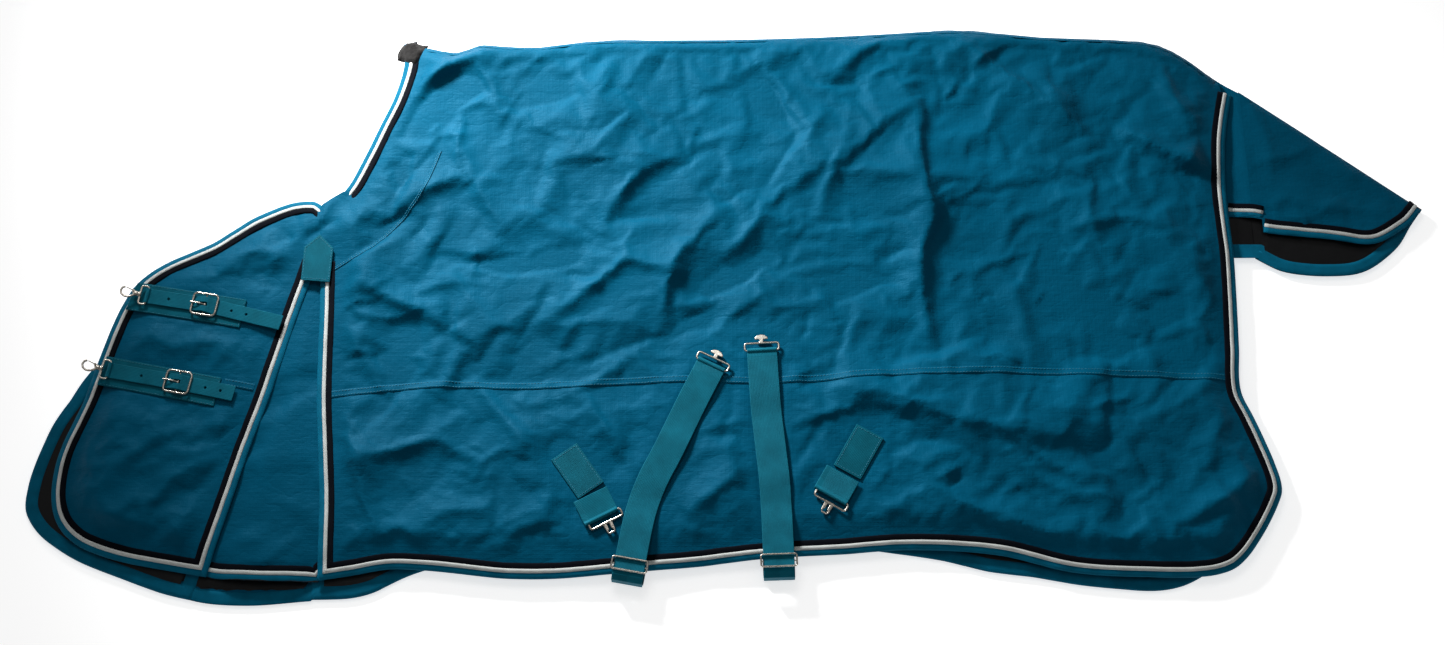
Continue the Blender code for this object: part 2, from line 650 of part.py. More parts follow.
def snap_hook(name):
    """Swivel stem, shank and open loop of the snap, with the ear and pin of its gate."""
    path = [
        (0.0185, 0.0005), (0.0230, 0.0048), (0.0290, 0.0078), (0.0350, 0.0080),
        (0.0400, 0.0050), (0.0420, 0.0000), (0.0405, -0.0050), (0.0365, -0.0080),
    ]
    made = rod(name, [(x, y, 0) for x, y in path], 0.0019, STEEL)
    combine(made, drum(name + "_shank", (0.0178, 0, 0), 0.0040, 0.0024, (1, 0, 0)), "UNION")
    combine(made, drum(name + "_stem", (0.0140, 0, 0), 0.0016, 0.0026, (1, 0, 0)), "UNION")
    ear = [(0.0170, 0.0030), (0.0170, -0.0030), (0.0225, -0.0062), (0.0252, -0.0040), (0.0225, 0.0020)]
    combine(made, slab(name + "_ear", ear, -0.0026, -0.0016, STEEL), "UNION")
    pin = drum(name + "_pin", GATE_PIN - Vector((0, 0, 0.0006)), 0.0009, 0.0018, (0, 0, 1))
    return combine(made, pin, "UNION")


def snap_gate(name):
    """Gate from the shank's pin to the hook's nose."""
    bar = [(0.0240, -0.0044, 0), (0.0345, -0.0074, 0)]
    made = rod(name, bar, 0.0010, STEEL, sides=6)
    combine(made, drum(name + "_boss", GATE_PIN, 0.0022, 0.0012, (0, 0, 1)), "UNION")
    return combine(made, drum(name + "_bore", GATE_PIN, 0.0012, 0.01, (0, 0, 1)), "DIFFERENCE")


def chest_dee(side, edge, along, carrier):
    """Dee and tab on the far chest panel, which the snap clips to."""
    frame = frame_at((*edge, 0.0031), along)
    outline = [p + Vector((0.009, 0, 0)) for p in rounded_loop(0.018, 0.0300, 0.0022, 2)]
    dee = rod(f"{side}_chest_dee", outline, 0.0015, STEEL, closed=True)
    half = NARROW_WEBBING / 2
    corners = [(-0.034, -half), (-0.0015, -half), (-0.0015, half), (-0.034, half)]
    tab = slab(f"{side}_dee_tab", corners, -0.0018, -0.0004, STRAPPING)
    loop = drum(f"{side}_dee_loop", (0, 0, 0), 0.0029, half - GAP, (0, 1, 0))
    bore = drum(f"{side}_dee_bore", (0, 0, 0), 0.0018, NARROW_WEBBING, (0, 1, 0))
    combine(tab, loop, "UNION")
    combine(tab, bore, "DIFFERENCE")
    placed([dee, tab], frame)
    attach([tab], carrier)
    pivot(f"{side}_dee_swing", frame, [dee], carrier)
    cutter = block(f"{side}_dee_recess", (-0.036, -0.0180, -0.005), (0.060, 0.0180, 0.0034))
    cutter.matrix_world = frame
    return cutter


# ---- assembly --------------------------------------------------------------------------------
def clear_scene():
    for old in list(bpy.data.objects):
        bpy.data.objects.remove(old, do_unlink=True)


def tail_flap():
    """Folded flap over the tail: a near and a far half, and the strip they hang from."""
    top = [Vector(p) for p in TAIL_TOP]
    step = [Vector(p) for p in TAIL_NEAR_STEP]
    near = [*reversed(top), *reversed(step), *reversed(smooth(TAIL_NEAR_EDGE))]
    far = [*reversed(top), *reversed(smooth(TAIL_FAR_EDGE))]
    slab("tail_flap_far", far, TAIL_FAR_BASE, TAIL_FAR_BASE + TAIL_CLOTH, FABRIC)
    slab("tail_flap_near", near, TAIL_NEAR_BASE, TAIL_NEAR_BASE + TAIL_CLOTH, FABRIC)
    slab("tail_flap_strip", TAIL_STRIP, TAIL_STRIP_BASE, TAIL_STRIP_BASE + TAIL_STRIP_CLOTH, FABRIC)


def near_details():
    """Patches sewn to the outside of the near half."""
    base = NEAR_TOP + GAP
    slab("gusset_tab", GUSSET_TAB, base, base + WEBBING, STRAPPING)
    slab("withers_patch", WITHERS_PATCH, base, base + FLEECE_THICK, FLEECE)
    for side, corners in CHEST_BANDS.items():
        slab(f"{side}_chest_band", corners, base, BAND_TOP, STRAPPING)


def cut_all(names, cutters):
    """Presses the same channels into several layers."""
    for name in names:
        for cutter in cutters:
            combine(bpy.data.objects[name], cutter, "DIFFERENCE")


clear_scene()
FABRIC = material("ripstop_shell", (0.002, 0.100, 0.185), 0.45)
NYLON = material("nylon_lining", (0.006, 0.006, 0.007), 0.50)
WADDING = material("fibre_fill", (0.80, 0.80, 0.78), 0.95)
TAPE = material("edge_binding", (0.004, 0.090, 0.150), 0.70)
STRAPPING = material("webbing", (0.004, 0.100, 0.150), 0.75)
FLEECE = material("withers_fleece", (0.009, 0.009, 0.010), 0.95)
STEEL = material("nickel_plate", (0.78, 0.74, 0.66), 0.22, 1.0)

body_half("far", FAR_GUSSET_EDGE, FAR_HEM, FAR_REAR, FAR_NECK, 0.0, True)
chest_half("far_chest", FAR_CHEST, FAR_CHEST_GUSSET, 0.0, True)
body_half("near", NEAR_GUSSET_EDGE, NEAR_HEM, NEAR_REAR, NEAR_NECK, NEAR_BASE, False)
chest_half("near_chest", NEAR_CHEST, NEAR_CHEST_GUSSET, NEAR_BASE, False)
gusset_insert("far_gusset", FAR_GUSSET_HEM, PANEL + GAP)
gusset_insert("near_gusset", NEAR_GUSSET_HEM, NEAR_BASE - GAP - INSERT)
tail_flap()
near_details()

NEAR_LAYERS = ["shell", "fill", "lining", "hem_binding", "neck_binding", "gusset"]
CHEST_LAYERS = ["shell", "fill", "lining", "binding"]
SPINE_AXIS = Matrix.Translation((0, SPINE_AXIS_Y, (NEAR_BASE + PANEL) / 2))
GUSSET_AXIS = Matrix.Translation((*GUSSET_PIVOT, NEAR_BASE))
TAIL_AXIS = Matrix.Translation((TAIL_HINGE_X, 0.25, TAIL_HINGE_Z))

near_layers = named(*[f"near_{part}" for part in NEAR_LAYERS])
near_chest_layers = named(*[f"near_chest_{part}" for part in CHEST_LAYERS])
far_chest_layers = named(*[f"far_chest_{part}" for part in CHEST_LAYERS])
near_side = pivot("spine_fold", SPINE_AXIS, [*near_layers, *named("gusset_tab", "withers_patch")])
near_chest = pivot("near_gusset_open", GUSSET_AXIS, near_chest_layers, near_side)
attach(named("upper_chest_band", "lower_chest_band"), near_chest)
far_chest = pivot("far_gusset_open", GUSSET_AXIS, far_chest_layers)
pivot("tail_flap_lift", TAIL_AXIS, named("tail_flap_far", "tail_flap_near"))

receiver("front", (-0.248, -0.226), (0.575, -0.818), (0.455, -0.890), near_side)
receiver("rear", (0.232, -0.193), (-0.493, -0.870), (-0.500, -0.866), near_side)
chest_fastening("upper", (-0.926, 0.033), (-0.832, 0.018), (-0.707, -0.013), near_chest)
chest_fastening("lower", (-0.973, -0.093), (-0.862, -0.113), (-0.772, -0.132), near_chest)

CHANNELS = [surcingle("front", FRONT_SURCINGLE), surcingle("rear", REAR_SURCINGLE)]
cut_all(["far_shell", "far_fill", "far_hem_binding"], CHANNELS)
RECESSES = [
    chest_dee("upper", (-0.930, 0.012), (-1, 0.35), far_chest),
    chest_dee("lower", (-0.995, -0.100), (-1, 0.30), far_chest),
]
cut_all(["far_chest_shell", "far_chest_fill", "far_chest_binding"], RECESSES)
bpy.context.view_layer.update()
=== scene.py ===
"""Looks of the turnout rug: cloth, bindings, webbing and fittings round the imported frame.

Metres, +Z up, in the frame's own axes.  The rug lies folded along its back seam: the near
half is on top with its shell up, the far half is under it with its lining up.  Each panel
is a sheet whose folds come from a list of main creases, seeded small creases and facets,
and a short cloth simulation.  Everything sewn to a panel takes its height from that panel.
"""

import math

import bpy
import numpy as np
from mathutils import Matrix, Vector
from mathutils.bvhtree import BVHTree
from mathutils.geometry import delaunay_2d_cdt


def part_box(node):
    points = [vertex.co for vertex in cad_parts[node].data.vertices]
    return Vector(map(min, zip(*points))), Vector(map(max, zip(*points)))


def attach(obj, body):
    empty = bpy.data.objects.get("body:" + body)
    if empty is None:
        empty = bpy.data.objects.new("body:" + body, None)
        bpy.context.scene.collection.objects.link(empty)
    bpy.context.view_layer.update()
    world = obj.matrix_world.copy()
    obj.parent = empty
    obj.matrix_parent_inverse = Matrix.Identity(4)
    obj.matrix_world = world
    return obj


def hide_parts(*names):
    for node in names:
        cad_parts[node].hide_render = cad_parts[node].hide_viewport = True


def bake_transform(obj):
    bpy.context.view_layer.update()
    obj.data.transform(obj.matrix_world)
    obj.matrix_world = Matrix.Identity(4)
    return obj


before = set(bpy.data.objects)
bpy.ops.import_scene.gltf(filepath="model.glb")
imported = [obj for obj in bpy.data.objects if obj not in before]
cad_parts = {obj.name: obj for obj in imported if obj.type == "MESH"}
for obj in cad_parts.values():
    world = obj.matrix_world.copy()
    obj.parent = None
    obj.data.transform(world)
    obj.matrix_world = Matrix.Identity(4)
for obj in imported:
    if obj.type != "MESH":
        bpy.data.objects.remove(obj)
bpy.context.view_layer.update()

# ---- levels, from the frame ------------------------------------------------------------------
NEAR_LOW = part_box("near_lining")[0].z
NEAR_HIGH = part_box("near_shell")[1].z
FAR_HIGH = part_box("far_lining")[1].z
MIDDLE = NEAR_HIGH / 2                  # height of the fold line at the back seam
BINDING = 0.024                         # width of an edge binding
EDGE_THICK = 0.0050                     # padding squeezed by its binding
EDGE_DROOP = 0.0055                     # how far the near half sinks at its open edges
SOFT_EDGE = 0.060                       # width over which it does so
ROLL = 0.025                            # width of the rounded back seam
SPINE_LOW = 0.3                         # the back seam lies wholly above this Y
HALF_GAP = 0.0004                       # half the gap between two folded sheets at their fold
FAR_RIM = 0.0024                        # the far half's edges, raised by the cord under them
TUCK = 0.006                            # cloth that runs in under a binding
CEILING = 0.0540                        # no fold of the near half stands higher
COARSE = 0.010                          # spacing of the simulated sheets, halved afterwards
CORNER = math.radians(38)               # an outline that turns more than this keeps its corner
TOUCH = 0.002                           # points nearer than this to a path count as lying on it

# ---- main folds of the near half -------------------------------------------------------------
# Each is the line of a crest, its height, and how far it falls away to the left and to the right.
# Heights and widths are in millimetres; a negative height is a valley.
BODY_FOLDS = [
    ([(-0.626, 0.085), (-0.562, 0.133), (-0.512, 0.186)], -11, 26, 7),
    ([(-0.575, 0.300), (-0.551, 0.326), (-0.519, 0.396), (-0.468, 0.444), (-0.380, 0.492)], 16, 22, 9),
    ([(-0.560, 0.305), (-0.512, 0.340), (-0.470, 0.385), (-0.400, 0.430)], -14, 30, 24),
    ([(-0.552, 0.175), (-0.529, 0.229), (-0.525, 0.279), (-0.540, 0.308)], -7, 22, 8),
    ([(-0.374, 0.369), (-0.306, 0.389), (-0.234, 0.402)], -5, 18, 7),
    ([(-0.320, 0.265), (-0.230, 0.290), (-0.140, 0.372)], 4, 50, 22),
    ([(-0.200, 0.142), (-0.138, 0.251), (-0.060, 0.290)], 8, 40, 10),
    ([(-0.294, -0.021), (-0.157, 0.097), (-0.053, 0.070)], 7, 26, 9),
    ([(-0.446, 0.079), (-0.400, 0.020), (-0.362, -0.034)], 4, 30, 22),
    ([(-0.610, 0.060), (-0.469, 0.000), (-0.375, -0.060)], 8, 34, 14),
    ([(-0.640, 0.010), (-0.590, -0.040), (-0.541, -0.112)], 7, 26, 14),
    ([(-0.427, 0.299), (-0.400, 0.215), (-0.348, 0.151)], 4, 24, 10),
    ([(-0.480, 0.110), (-0.322, 0.084), (-0.220, 0.100)], -5, 20, 10),
    ([(0.329, 0.400), (0.329, 0.242), (0.345, 0.169), (0.325, 0.114), (0.337, -0.086)], 8, 9, 26),
    ([(0.213, 0.160), (0.270, 0.170), (0.335, 0.194)], -5, 14, 6),
    ([(0.155, 0.387), (0.221, 0.464), (0.303, 0.508)], 7, 30, 12),
    ([(0.175, 0.245), (0.273, 0.345), (0.329, 0.382)], 7, 34, 10),
    ([(0.060, 0.180), (0.120, 0.235), (0.183, 0.275)], 6, 22, 9),
    ([(0.154, 0.165), (0.162, 0.205), (0.185, 0.262)], 5, 7, 20),
    ([(0.000, 0.095), (0.040, 0.140), (0.071, 0.187)], 6, 20, 12),
    ([(-0.060, 0.026), (0.010, 0.060), (0.090, 0.115)], -6, 18, 9),
    ([(0.395, 0.500), (0.519, 0.402), (0.640, 0.292)], 9, 12, 34),
    ([(0.407, 0.483), (0.420, 0.450), (0.410, 0.415)], -6, 9, 9),
    ([(0.170, 0.020), (0.230, 0.058), (0.300, 0.060)], -7, 26, 16),
    ([(0.245, 0.092), (0.280, 0.110), (0.312, 0.121)], -5, 9, 5),
    ([(0.363, -0.045), (0.420, -0.072), (0.475, -0.078)], 5, 14, 20),
    ([(0.660, 0.340), (0.740, 0.280), (0.835, 0.250)], 15, 30, 7),
    ([(0.700, 0.300), (0.760, 0.262), (0.836, 0.232)], -13, 10, 20),
    ([(0.560, 0.150), (0.660, 0.172), (0.760, 0.140)], 6, 30, 10),
    ([(0.740, 0.455), (0.760, 0.380), (0.830, 0.308)], 6, 20, 12),
    ([(0.613, 0.251), (0.602, 0.180), (0.612, 0.121), (0.660, 0.124)], 5, 12, 20),
    ([(0.500, 0.075), (0.570, 0.015), (0.656, -0.056)], -5, 30, 30),
    ([(0.435, -0.190), (0.550, -0.262), (0.650, -0.252)], 6, 20, 10),
    ([(0.415, -0.305), (0.480, -0.360), (0.531, -0.385)], 6, 18, 10),
    ([(0.690, -0.350), (0.792, -0.290), (0.849, -0.240)], 8, 26, 14),
    ([(-0.400, -0.105), (-0.298, -0.225), (-0.220, -0.315)], 9, 16, 26),
    ([(-0.600, -0.250), (-0.448, -0.205), (-0.371, -0.250)], 6, 26, 10),
    ([(-0.480, -0.350), (-0.420, -0.322), (-0.350, -0.316)], 5, 20, 8),
    ([(-0.340, -0.362), (-0.280, -0.338), (-0.229, -0.330)], 5, 18, 8),
    ([(-0.215, -0.150), (-0.170, -0.210), (-0.128, -0.270)], 8, 16, 18),
    ([(-0.316, -0.225), (-0.260, -0.190), (-0.201, -0.146)], 5, 12, 18),
    ([(-0.060, -0.325), (0.000, -0.280), (0.050, -0.230)], 7, 18, 14),
    ([(0.097, -0.190), (0.220, -0.150), (0.379, -0.153)], 8, 26, 9),
    ([(0.300, -0.262), (0.413, -0.334), (0.577, -0.372)], 8, 18, 22),
    ([(0.420, -0.205), (0.510, -0.280), (0.620, -0.310)], 7, 14, 24),
    ([(-0.590, -0.180), (-0.560, -0.290), (-0.520, -0.380)], 6, 30, 18),
]
CHEST_FOLDS = [
    ([(-0.684, 0.100), (-0.760, 0.110), (-0.850, 0.092)], 6, 12, 24),
    ([(-0.690, 0.130), (-0.740, 0.160), (-0.790, 0.150)], -5, 14, 20),
    ([(-0.690, 0.080), (-0.750, 0.065), (-0.810, 0.062)], -4, 12, 12),
    ([(-0.900, -0.070), (-0.840, -0.040), (-0.770, -0.050)], 5, 26, 16),
    ([(-0.980, -0.300), (-0.900, -0.215), (-0.830, -0.170)], 7, 36, 20),
    ([(-0.900, -0.330), (-0.840, -0.260), (-0.780, -0.230)], 8, 26, 14),
    ([(-0.990, -0.190), (-0.930, -0.170), (-0.870, -0.175)], 5, 30, 24),
    ([(-0.860, -0.390), (-0.830, -0.340), (-0.822, -0.290)], 6, 12, 18),
    ([(-1.010, -0.350), (-0.940, -0.330), (-0.880, -0.350)], 6, 26, 14),
]
# Folds that cross from the body to the chest above the gusset.
SHOULDER_FOLDS = [
    ([(-0.638, 0.214), (-0.652, 0.186), (-0.666, 0.150)], 6, 10, 8),
    ([(-0.690, 0.128), (-0.657, 0.154), (-0.622, 0.176)], -6, 14, 6),
    ([(-0.706, 0.196), (-0.690, 0.168), (-0.676, 0.146)], 4, 10, 7),
]
TAIL_FOLDS = [
    ([(0.878, 0.275), (0.942, 0.286), (0.985, 0.306)], 4, 14, 7),
    ([(0.894, 0.186), (0.929, 0.211), (0.973, 0.190)], 4, 16, 8),
    ([(0.985, 0.184), (1.045, 0.192), (1.100, 0.184)], 4, 12, 5),
    ([(1.050, 0.255), (1.068, 0.236), (1.086, 0.208)], -4, 10, 10),
    ([(0.975, 0.240), (1.026, 0.212), (1.075, 0.190)], -3, 14, 10),
    ([(0.900, 0.360), (0.912, 0.300), (0.905, 0.230)], 3, 9, 16),
]
# Direction that small creases mostly run in, by place.
GRAIN = [
    ((-0.45, 0.20), 40), ((0.10, 0.25), 42), ((0.65, 0.25), -40), ((0.30, 0.00), 25),
    ((-0.45, -0.28), -40), ((0.05, -0.28), 35), ((0.55, -0.28), -32), ((-0.90, -0.20), 40),
]
FLANK_SEAM = [(-0.620, -0.130), (-0.479, -0.116), (-0.305, -0.116), (-0.052, -0.105), (0.059, -0.108),
              (0.282, -0.096), (0.599, -0.095), (0.802, -0.102)]
CHEST_SEAM = [(-0.790, -0.111), (-0.765, -0.115), (-0.743, -0.119)]
SHOULDER_SEAM = [(-0.631, 0.083), (-0.581, 0.115), (-0.535, 0.159), (-0.497, 0.212), (-0.469, 0.294)]

RNG = np.random.default_rng(11)


# ---- plane geometry --------------------------------------------------------------------------
def smoothstep(x):
    x = np.clip(x, 0, 1)
    return x * x * (3 - 2 * x)


def outline(node):
    """The edge of a flat CAD sheet's upper face, anticlockwise, as plan points."""
    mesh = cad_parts[node].data
    spots = np.array([v.co for v in mesh.vertices])
    unique, index = np.unique(np.round(spots, 5), axis=0, return_inverse=True)
    index = index.ravel()
    high = unique[:, 2].max() - 2e-5
    sides = set()
    for polygon in mesh.polygons:
        ring = [int(index[v]) for v in polygon.vertices]
        if unique[ring, 2].min() > high:
            sides.update(zip(ring, ring[1:] + ring[:1]))
    follow = {a: b for a, b in sides if (b, a) not in sides}
    ring = [min(follow)]
    while follow[ring[-1]] != ring[0]:
        ring.append(follow[ring[-1]])
    return unique[ring, :2]


def closed(ring):
    return np.vstack([ring, ring[:1]])


def distance(points, path):
    """How far plan points are from a path, how far along it they lie, and their side (left is 1)."""
    best = np.full(len(points), np.inf)
    where = np.zeros(len(points))
    side = np.ones(len(points))
    gone = 0.0
    for a, b in zip(path, path[1:]):
        span = b - a
        length = np.hypot(*span)
        off = points - a
        t = np.clip(off @ span / length ** 2, 0, 1)
        gap = off - t[:, None] * span
        far = np.hypot(gap[:, 0], gap[:, 1])
        near = far < best
        best[near] = far[near]
        where[near] = gone + t[near] * length
        side[near] = np.sign(span[0] * off[near, 1] - span[1] * off[near, 0])
        gone += length
    return best, where, side


def nearest(points, paths):
    """Distance to the closest of several paths."""
    return np.min([distance(points, path)[0] for path in paths], axis=0)


def inside(points, ring):
    """Which plan points lie within a closed outline."""
    odd = np.zeros(len(points), bool)
    x, y = points.T
    for (ax, ay), (bx, by) in zip(ring, np.roll(ring, -1, axis=0)):
        if ay != by:
            odd ^= ((ay > y) != (by > y)) & (x < ax + (y - ay) / (by - ay) * (bx - ax))
    return odd


def stations(points, spacing):
    """Places on a curve about the given spacing apart; whole numbers are the points themselves."""
    lengths = np.linalg.norm(np.diff(points, axis=0), axis=1)
    found = []
    for i, length in enumerate(lengths):
        parts = max(1, round(length / spacing))
        found += [i + k / parts for k in range(parts)]
    return np.array([*found, len(lengths)])


def curve(points, where):
    """A smooth curve through the points, which keeps only the sharp corners."""
    points = np.asarray(points, float)
    steps = np.diff(points, axis=0)
    size = np.linalg.norm(steps, axis=1, keepdims=True)
    unit = steps / size
    mean = unit[:-1] + unit[1:]
    mean /= np.maximum(np.linalg.norm(mean, axis=1, keepdims=True), 1e-9)
    gentle = (unit[:-1] * unit[1:]).sum(1, keepdims=True) > math.cos(CORNER)
    leave = np.vstack([unit[:1], np.where(gentle, mean, unit[1:])]) * size
    arrive = np.vstack([np.where(gentle, mean, unit[:-1]), unit[-1:]]) * size
    i = np.minimum(where.astype(int), len(steps) - 1)
    t = (where - i)[:, None]
    return (
        (2 * t ** 3 - 3 * t ** 2 + 1) * points[i] + (3 * t ** 2 - 2 * t ** 3) * points[i + 1]
        + (t ** 3 - 2 * t ** 2 + t) * leave[i] + (t ** 3 - t ** 2) * arrive[i]
    )


def smooth_path(points, spacing):
    points = np.asarray(points, float)
    return curve(points, stations(points, spacing))


def left_of(path):
    """Unit normals to the left of a path at each of its points."""
    flow = np.gradient(path, axis=0)
    flow /= np.linalg.norm(flow, axis=1, keepdims=True)
    return np.stack([-flow[:, 1], flow[:, 0]], axis=1)


def run_length(path):
    steps = np.linalg.norm(np.diff(path, axis=0), axis=1)
    return np.concatenate([[0], np.cumsum(steps)])


def binding_edges(node, cloth):
    """Outer and inner edge of a CAD binding, as matching points with the cloth on the left."""
    ring = outline(node)
    half = len(ring) // 2
    turned = [np.roll(ring, -k, axis=0) for k in range(len(ring))]
    pairs = [(t[:half], t[half:][::-1]) for t in turned]
    uneven = [np.abs(np.linalg.norm(a - b, axis=1) - BINDING).mean() for a, b in pairs]
    k = int(np.argmin(uneven)) % half
    choices = [pairs[k], pairs[k + half]]
    return max(choices, key=lambda pair: distance(pair[0], closed(cloth))[0].mean())


def grown(panel):
    """A panel's outline with the cloth run in under its bindings."""
    ring = panel.ring
    found = ring.copy()
    for outer, inner in panel.bindings.values():
        gap, where, _ = distance(ring, inner)
        lengths = run_length(inner)
        target = np.stack([np.interp(where, lengths, outer[:, k]) for k in (0, 1)], axis=1)
        step = target - ring
        size = np.linalg.norm(step, axis=1, keepdims=True)
        found = np.where((gap < TOUCH)[:, None], ring + step / size * TUCK, found)
    return found


def first_run(ring, chosen):
    """A closed outline turned to start with its run of chosen points, and how many those are."""
    start = int(np.flatnonzero(chosen & ~np.roll(chosen, 1))[0])
    return np.roll(ring, -start, axis=0), int(np.argmin(np.roll(chosen, -start)))


def sheet(ring, spacing):
    """Triangles that fill a closed outline."""
    edge = closed(ring)
    edge = curve(edge, stations(edge, spacing))
    low, high = edge.min(0), edge.max(0)
    across = np.arange(low[0], high[0] + spacing, spacing)
    up = np.arange(low[1], high[1] + spacing, spacing * math.sqrt(0.75))
    grid = np.array([(x + spacing / 2 * (row % 2), y) for row, y in enumerate(up) for x in across])
    grid += RNG.normal(0, 0.10 * spacing, grid.shape)
    grid = grid[inside(grid, edge[:-1])]
    grid = grid[distance(grid, edge)[0] > 0.62 * spacing]
    points = np.vstack([edge[:-1], grid])
    count = len(edge) - 1
    sides = [(i, (i + 1) % count) for i in range(count)]
    spots, _, faces, *_ = delaunay_2d_cdt([Vector(p) for p in points], sides, [], 1, 1e-6)
    return np.array(spots, float), faces


# ---- folds -----------------------------------------------------------------------------------
def ridge(plan, path, height, left, right):
    """Heights of one crease: a crest that falls away differently on its two sides."""
    path = smooth_path(path, 0.02)
    reach = 5 * max(left, right)
    low, high = path.min(0) - reach, path.max(0) + reach
    near = np.flatnonzero(((plan > low) & (plan < high)).all(1))
    found = np.zeros(len(plan))
    if len(near):
        gap, where, side = distance(plan[near], path)
        rounded = np.hypot(gap, 0.0022) - 0.0022
        taper = np.maximum(np.sin(math.pi * where / run_length(path)[-1]), 0) ** 0.7
        found[near] = height * taper * np.exp(-rounded / np.where(side > 0, left, right))
    return found


def main_folds(plan, folds):
    total = np.zeros(len(plan))
    for path, height, left, right in folds:
        total += ridge(plan, path, height / 1000, left / 1000, right / 1000)
    return total


def grain(place):
    """Direction of the small creases at a place, in radians."""
    weights = np.array([1 / ((place[0] - x) ** 2 + (place[1] - y) ** 2 + 0.002) for (x, y), _ in GRAIN])
    angles = np.radians([angle for _, angle in GRAIN])
    return math.atan2((weights * np.sin(2 * angles)).sum(), (weights * np.cos(2 * angles)).sum()) / 2


def small_creases(plan, count, length, height):
    """Seeded creases, long and low or short and sharp, that follow the grain loosely."""
    low, high = plan.min(0), plan.max(0)
    total = np.zeros(len(plan))
    for _ in range(count):
        place = low + RNG.random(2) * (high - low)
        angle = grain(place) + RNG.normal(0, 0.45)
        reach = length * math.exp(RNG.normal(0, 0.45))
        way = np.array([math.cos(angle), math.sin(angle)])
        bow = np.array([-way[1], way[0]]) * reach * RNG.normal(0, 0.10)
        tall = height * (reach / length) ** 0.7 * (0.5 + RNG.random())
        tall *= RNG.choice([1, -1], p=[0.65, 0.35])
        wide = reach * (0.12 + 0.14 * RNG.random())
        steep = wide * (0.25 + 0.25 * RNG.random())
        path = [place - way * reach / 2, place + bow, place + way * reach / 2]
        total += ridge(plan, path, tall, wide, steep)
    return total


def facets(plan, size, angle, stretch):
    """Heights from -1 to 1 of a crumpled surface made of flat facets."""
    turn = np.array([[math.cos(angle), math.sin(angle)], [-math.sin(angle), math.cos(angle)]])
    local = plan @ turn.T / (size * np.array([stretch, 1.0]))
    low, high = np.floor(local.min(0)) - 2, np.ceil(local.max(0)) + 2
    lattice = np.array([(x, y) for x in np.arange(low[0], high[0]) for y in np.arange(low[1], high[1])])
    lattice += RNG.uniform(-0.42, 0.42, lattice.shape)
    spots, _, faces, *_ = delaunay_2d_cdt([Vector(p) for p in lattice], [], [], 0, 1e-6)
    tall = RNG.uniform(-1, 1, len(spots))
    tree = BVHTree.FromPolygons([(p[0], p[1], z) for p, z in zip(spots, tall)], faces)
    down = Vector((0, 0, -1))
    return np.array([tree.ray_cast(Vector((x, y, 3)), down)[0].z for x, y in local])


# ---- levels of the padding ---------------------------------------------------------------------
class Panel:
    """One padded panel: its outline, its bindings, and its two levels at any plan point."""

    def __init__(self, prefix, near, bindings, gusset_points, spine=False):
        self.near = near
        self.ring = outline(f"{prefix}_lining")
        self.bindings = {name: binding_edges(name, self.ring) for name in bindings}
        self.bound = [outer for outer, _ in self.bindings.values()]
        self.sewn = [inner for _, inner in self.bindings.values()]
        main = self.bound[0]
        loose = main[gusset_points:] if gusset_points > 0 else main[:gusset_points]
        self.open_paths = [loose, *self.bound[1:]]
        self.spine = None
        if spine:
            free = (nearest(self.ring, self.sewn) > TOUCH) & (self.ring[:, 1] > SPINE_LOW)
            turned, count = first_run(self.ring, free)
            self.spine = turned[:count]

    def levels(self, plan):
        """Underside and upper side before any folds."""
        loose = 1 - smoothstep(nearest(plan, self.open_paths) / SOFT_EDGE)
        squeezed = 1 - smoothstep((nearest(plan, self.bound) - 0.012) / SOFT_EDGE)
        thick = FAR_HIGH + (EDGE_THICK - FAR_HIGH) * squeezed
        if self.near:
            held = np.zeros(len(plan))
            for spot, reach, share in PROPS:
                away = np.linalg.norm(plan - spot, axis=1)
                held = np.maximum(held, share * (1 - smoothstep(away / reach)))
            under = NEAR_LOW - EDGE_DROOP * loose * (1 - held)
        else:
            under = FAR_RIM * squeezed
        over = under + thick
        if self.spine is not None:
            r = np.clip(distance(plan, self.spine)[0] / ROLL, 0, 1)
            bend = np.sqrt(1 - (1 - r) ** 2)
            middle = MIDDLE + (HALF_GAP if self.near else -HALF_GAP)
            over = middle + (over - MIDDLE) * bend
            under = middle + (under - MIDDLE) * bend
        return under, over


def middle_of(node):
    """Middle of a CAD node's box, in plan."""
    low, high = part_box(node)
    return np.array([(low.x + high.x) / 2, (low.y + high.y) / 2])


# What holds the near half's edge up: where, how far round, and how much of its droop that takes away.
STRIP_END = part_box("tail_flap_strip")[1].x
PROPS = [
    (middle_of("front_slider"), 0.13, 0.8), (middle_of("rear_slider"), 0.13, 0.8),
    (np.array([STRIP_END - 0.03, 0.27]), 0.22, 0.75),
]


# ---- finding places on the frame ---------------------------------------------------------------
def footprint(node):
    """Where a long flat CAD piece lies: its centre line in plan and half its width."""
    spots = np.unique(np.round([v.co[:2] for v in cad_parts[node].data.vertices], 5), axis=0)
    low, high = spots.min(0), spots.max(0)
    middle = (low + high) / 2
    way = np.linalg.svd(spots - spots.mean(0))[2][0]
    across = np.array([-way[1], way[0]])
    reach, width = (spots - middle) @ way, (spots - middle) @ across
    middle = middle + across * (width.min() + width.max()) / 2
    return np.array([middle + way * reach.min(), middle + way * reach.max()]), np.ptp(width) / 2


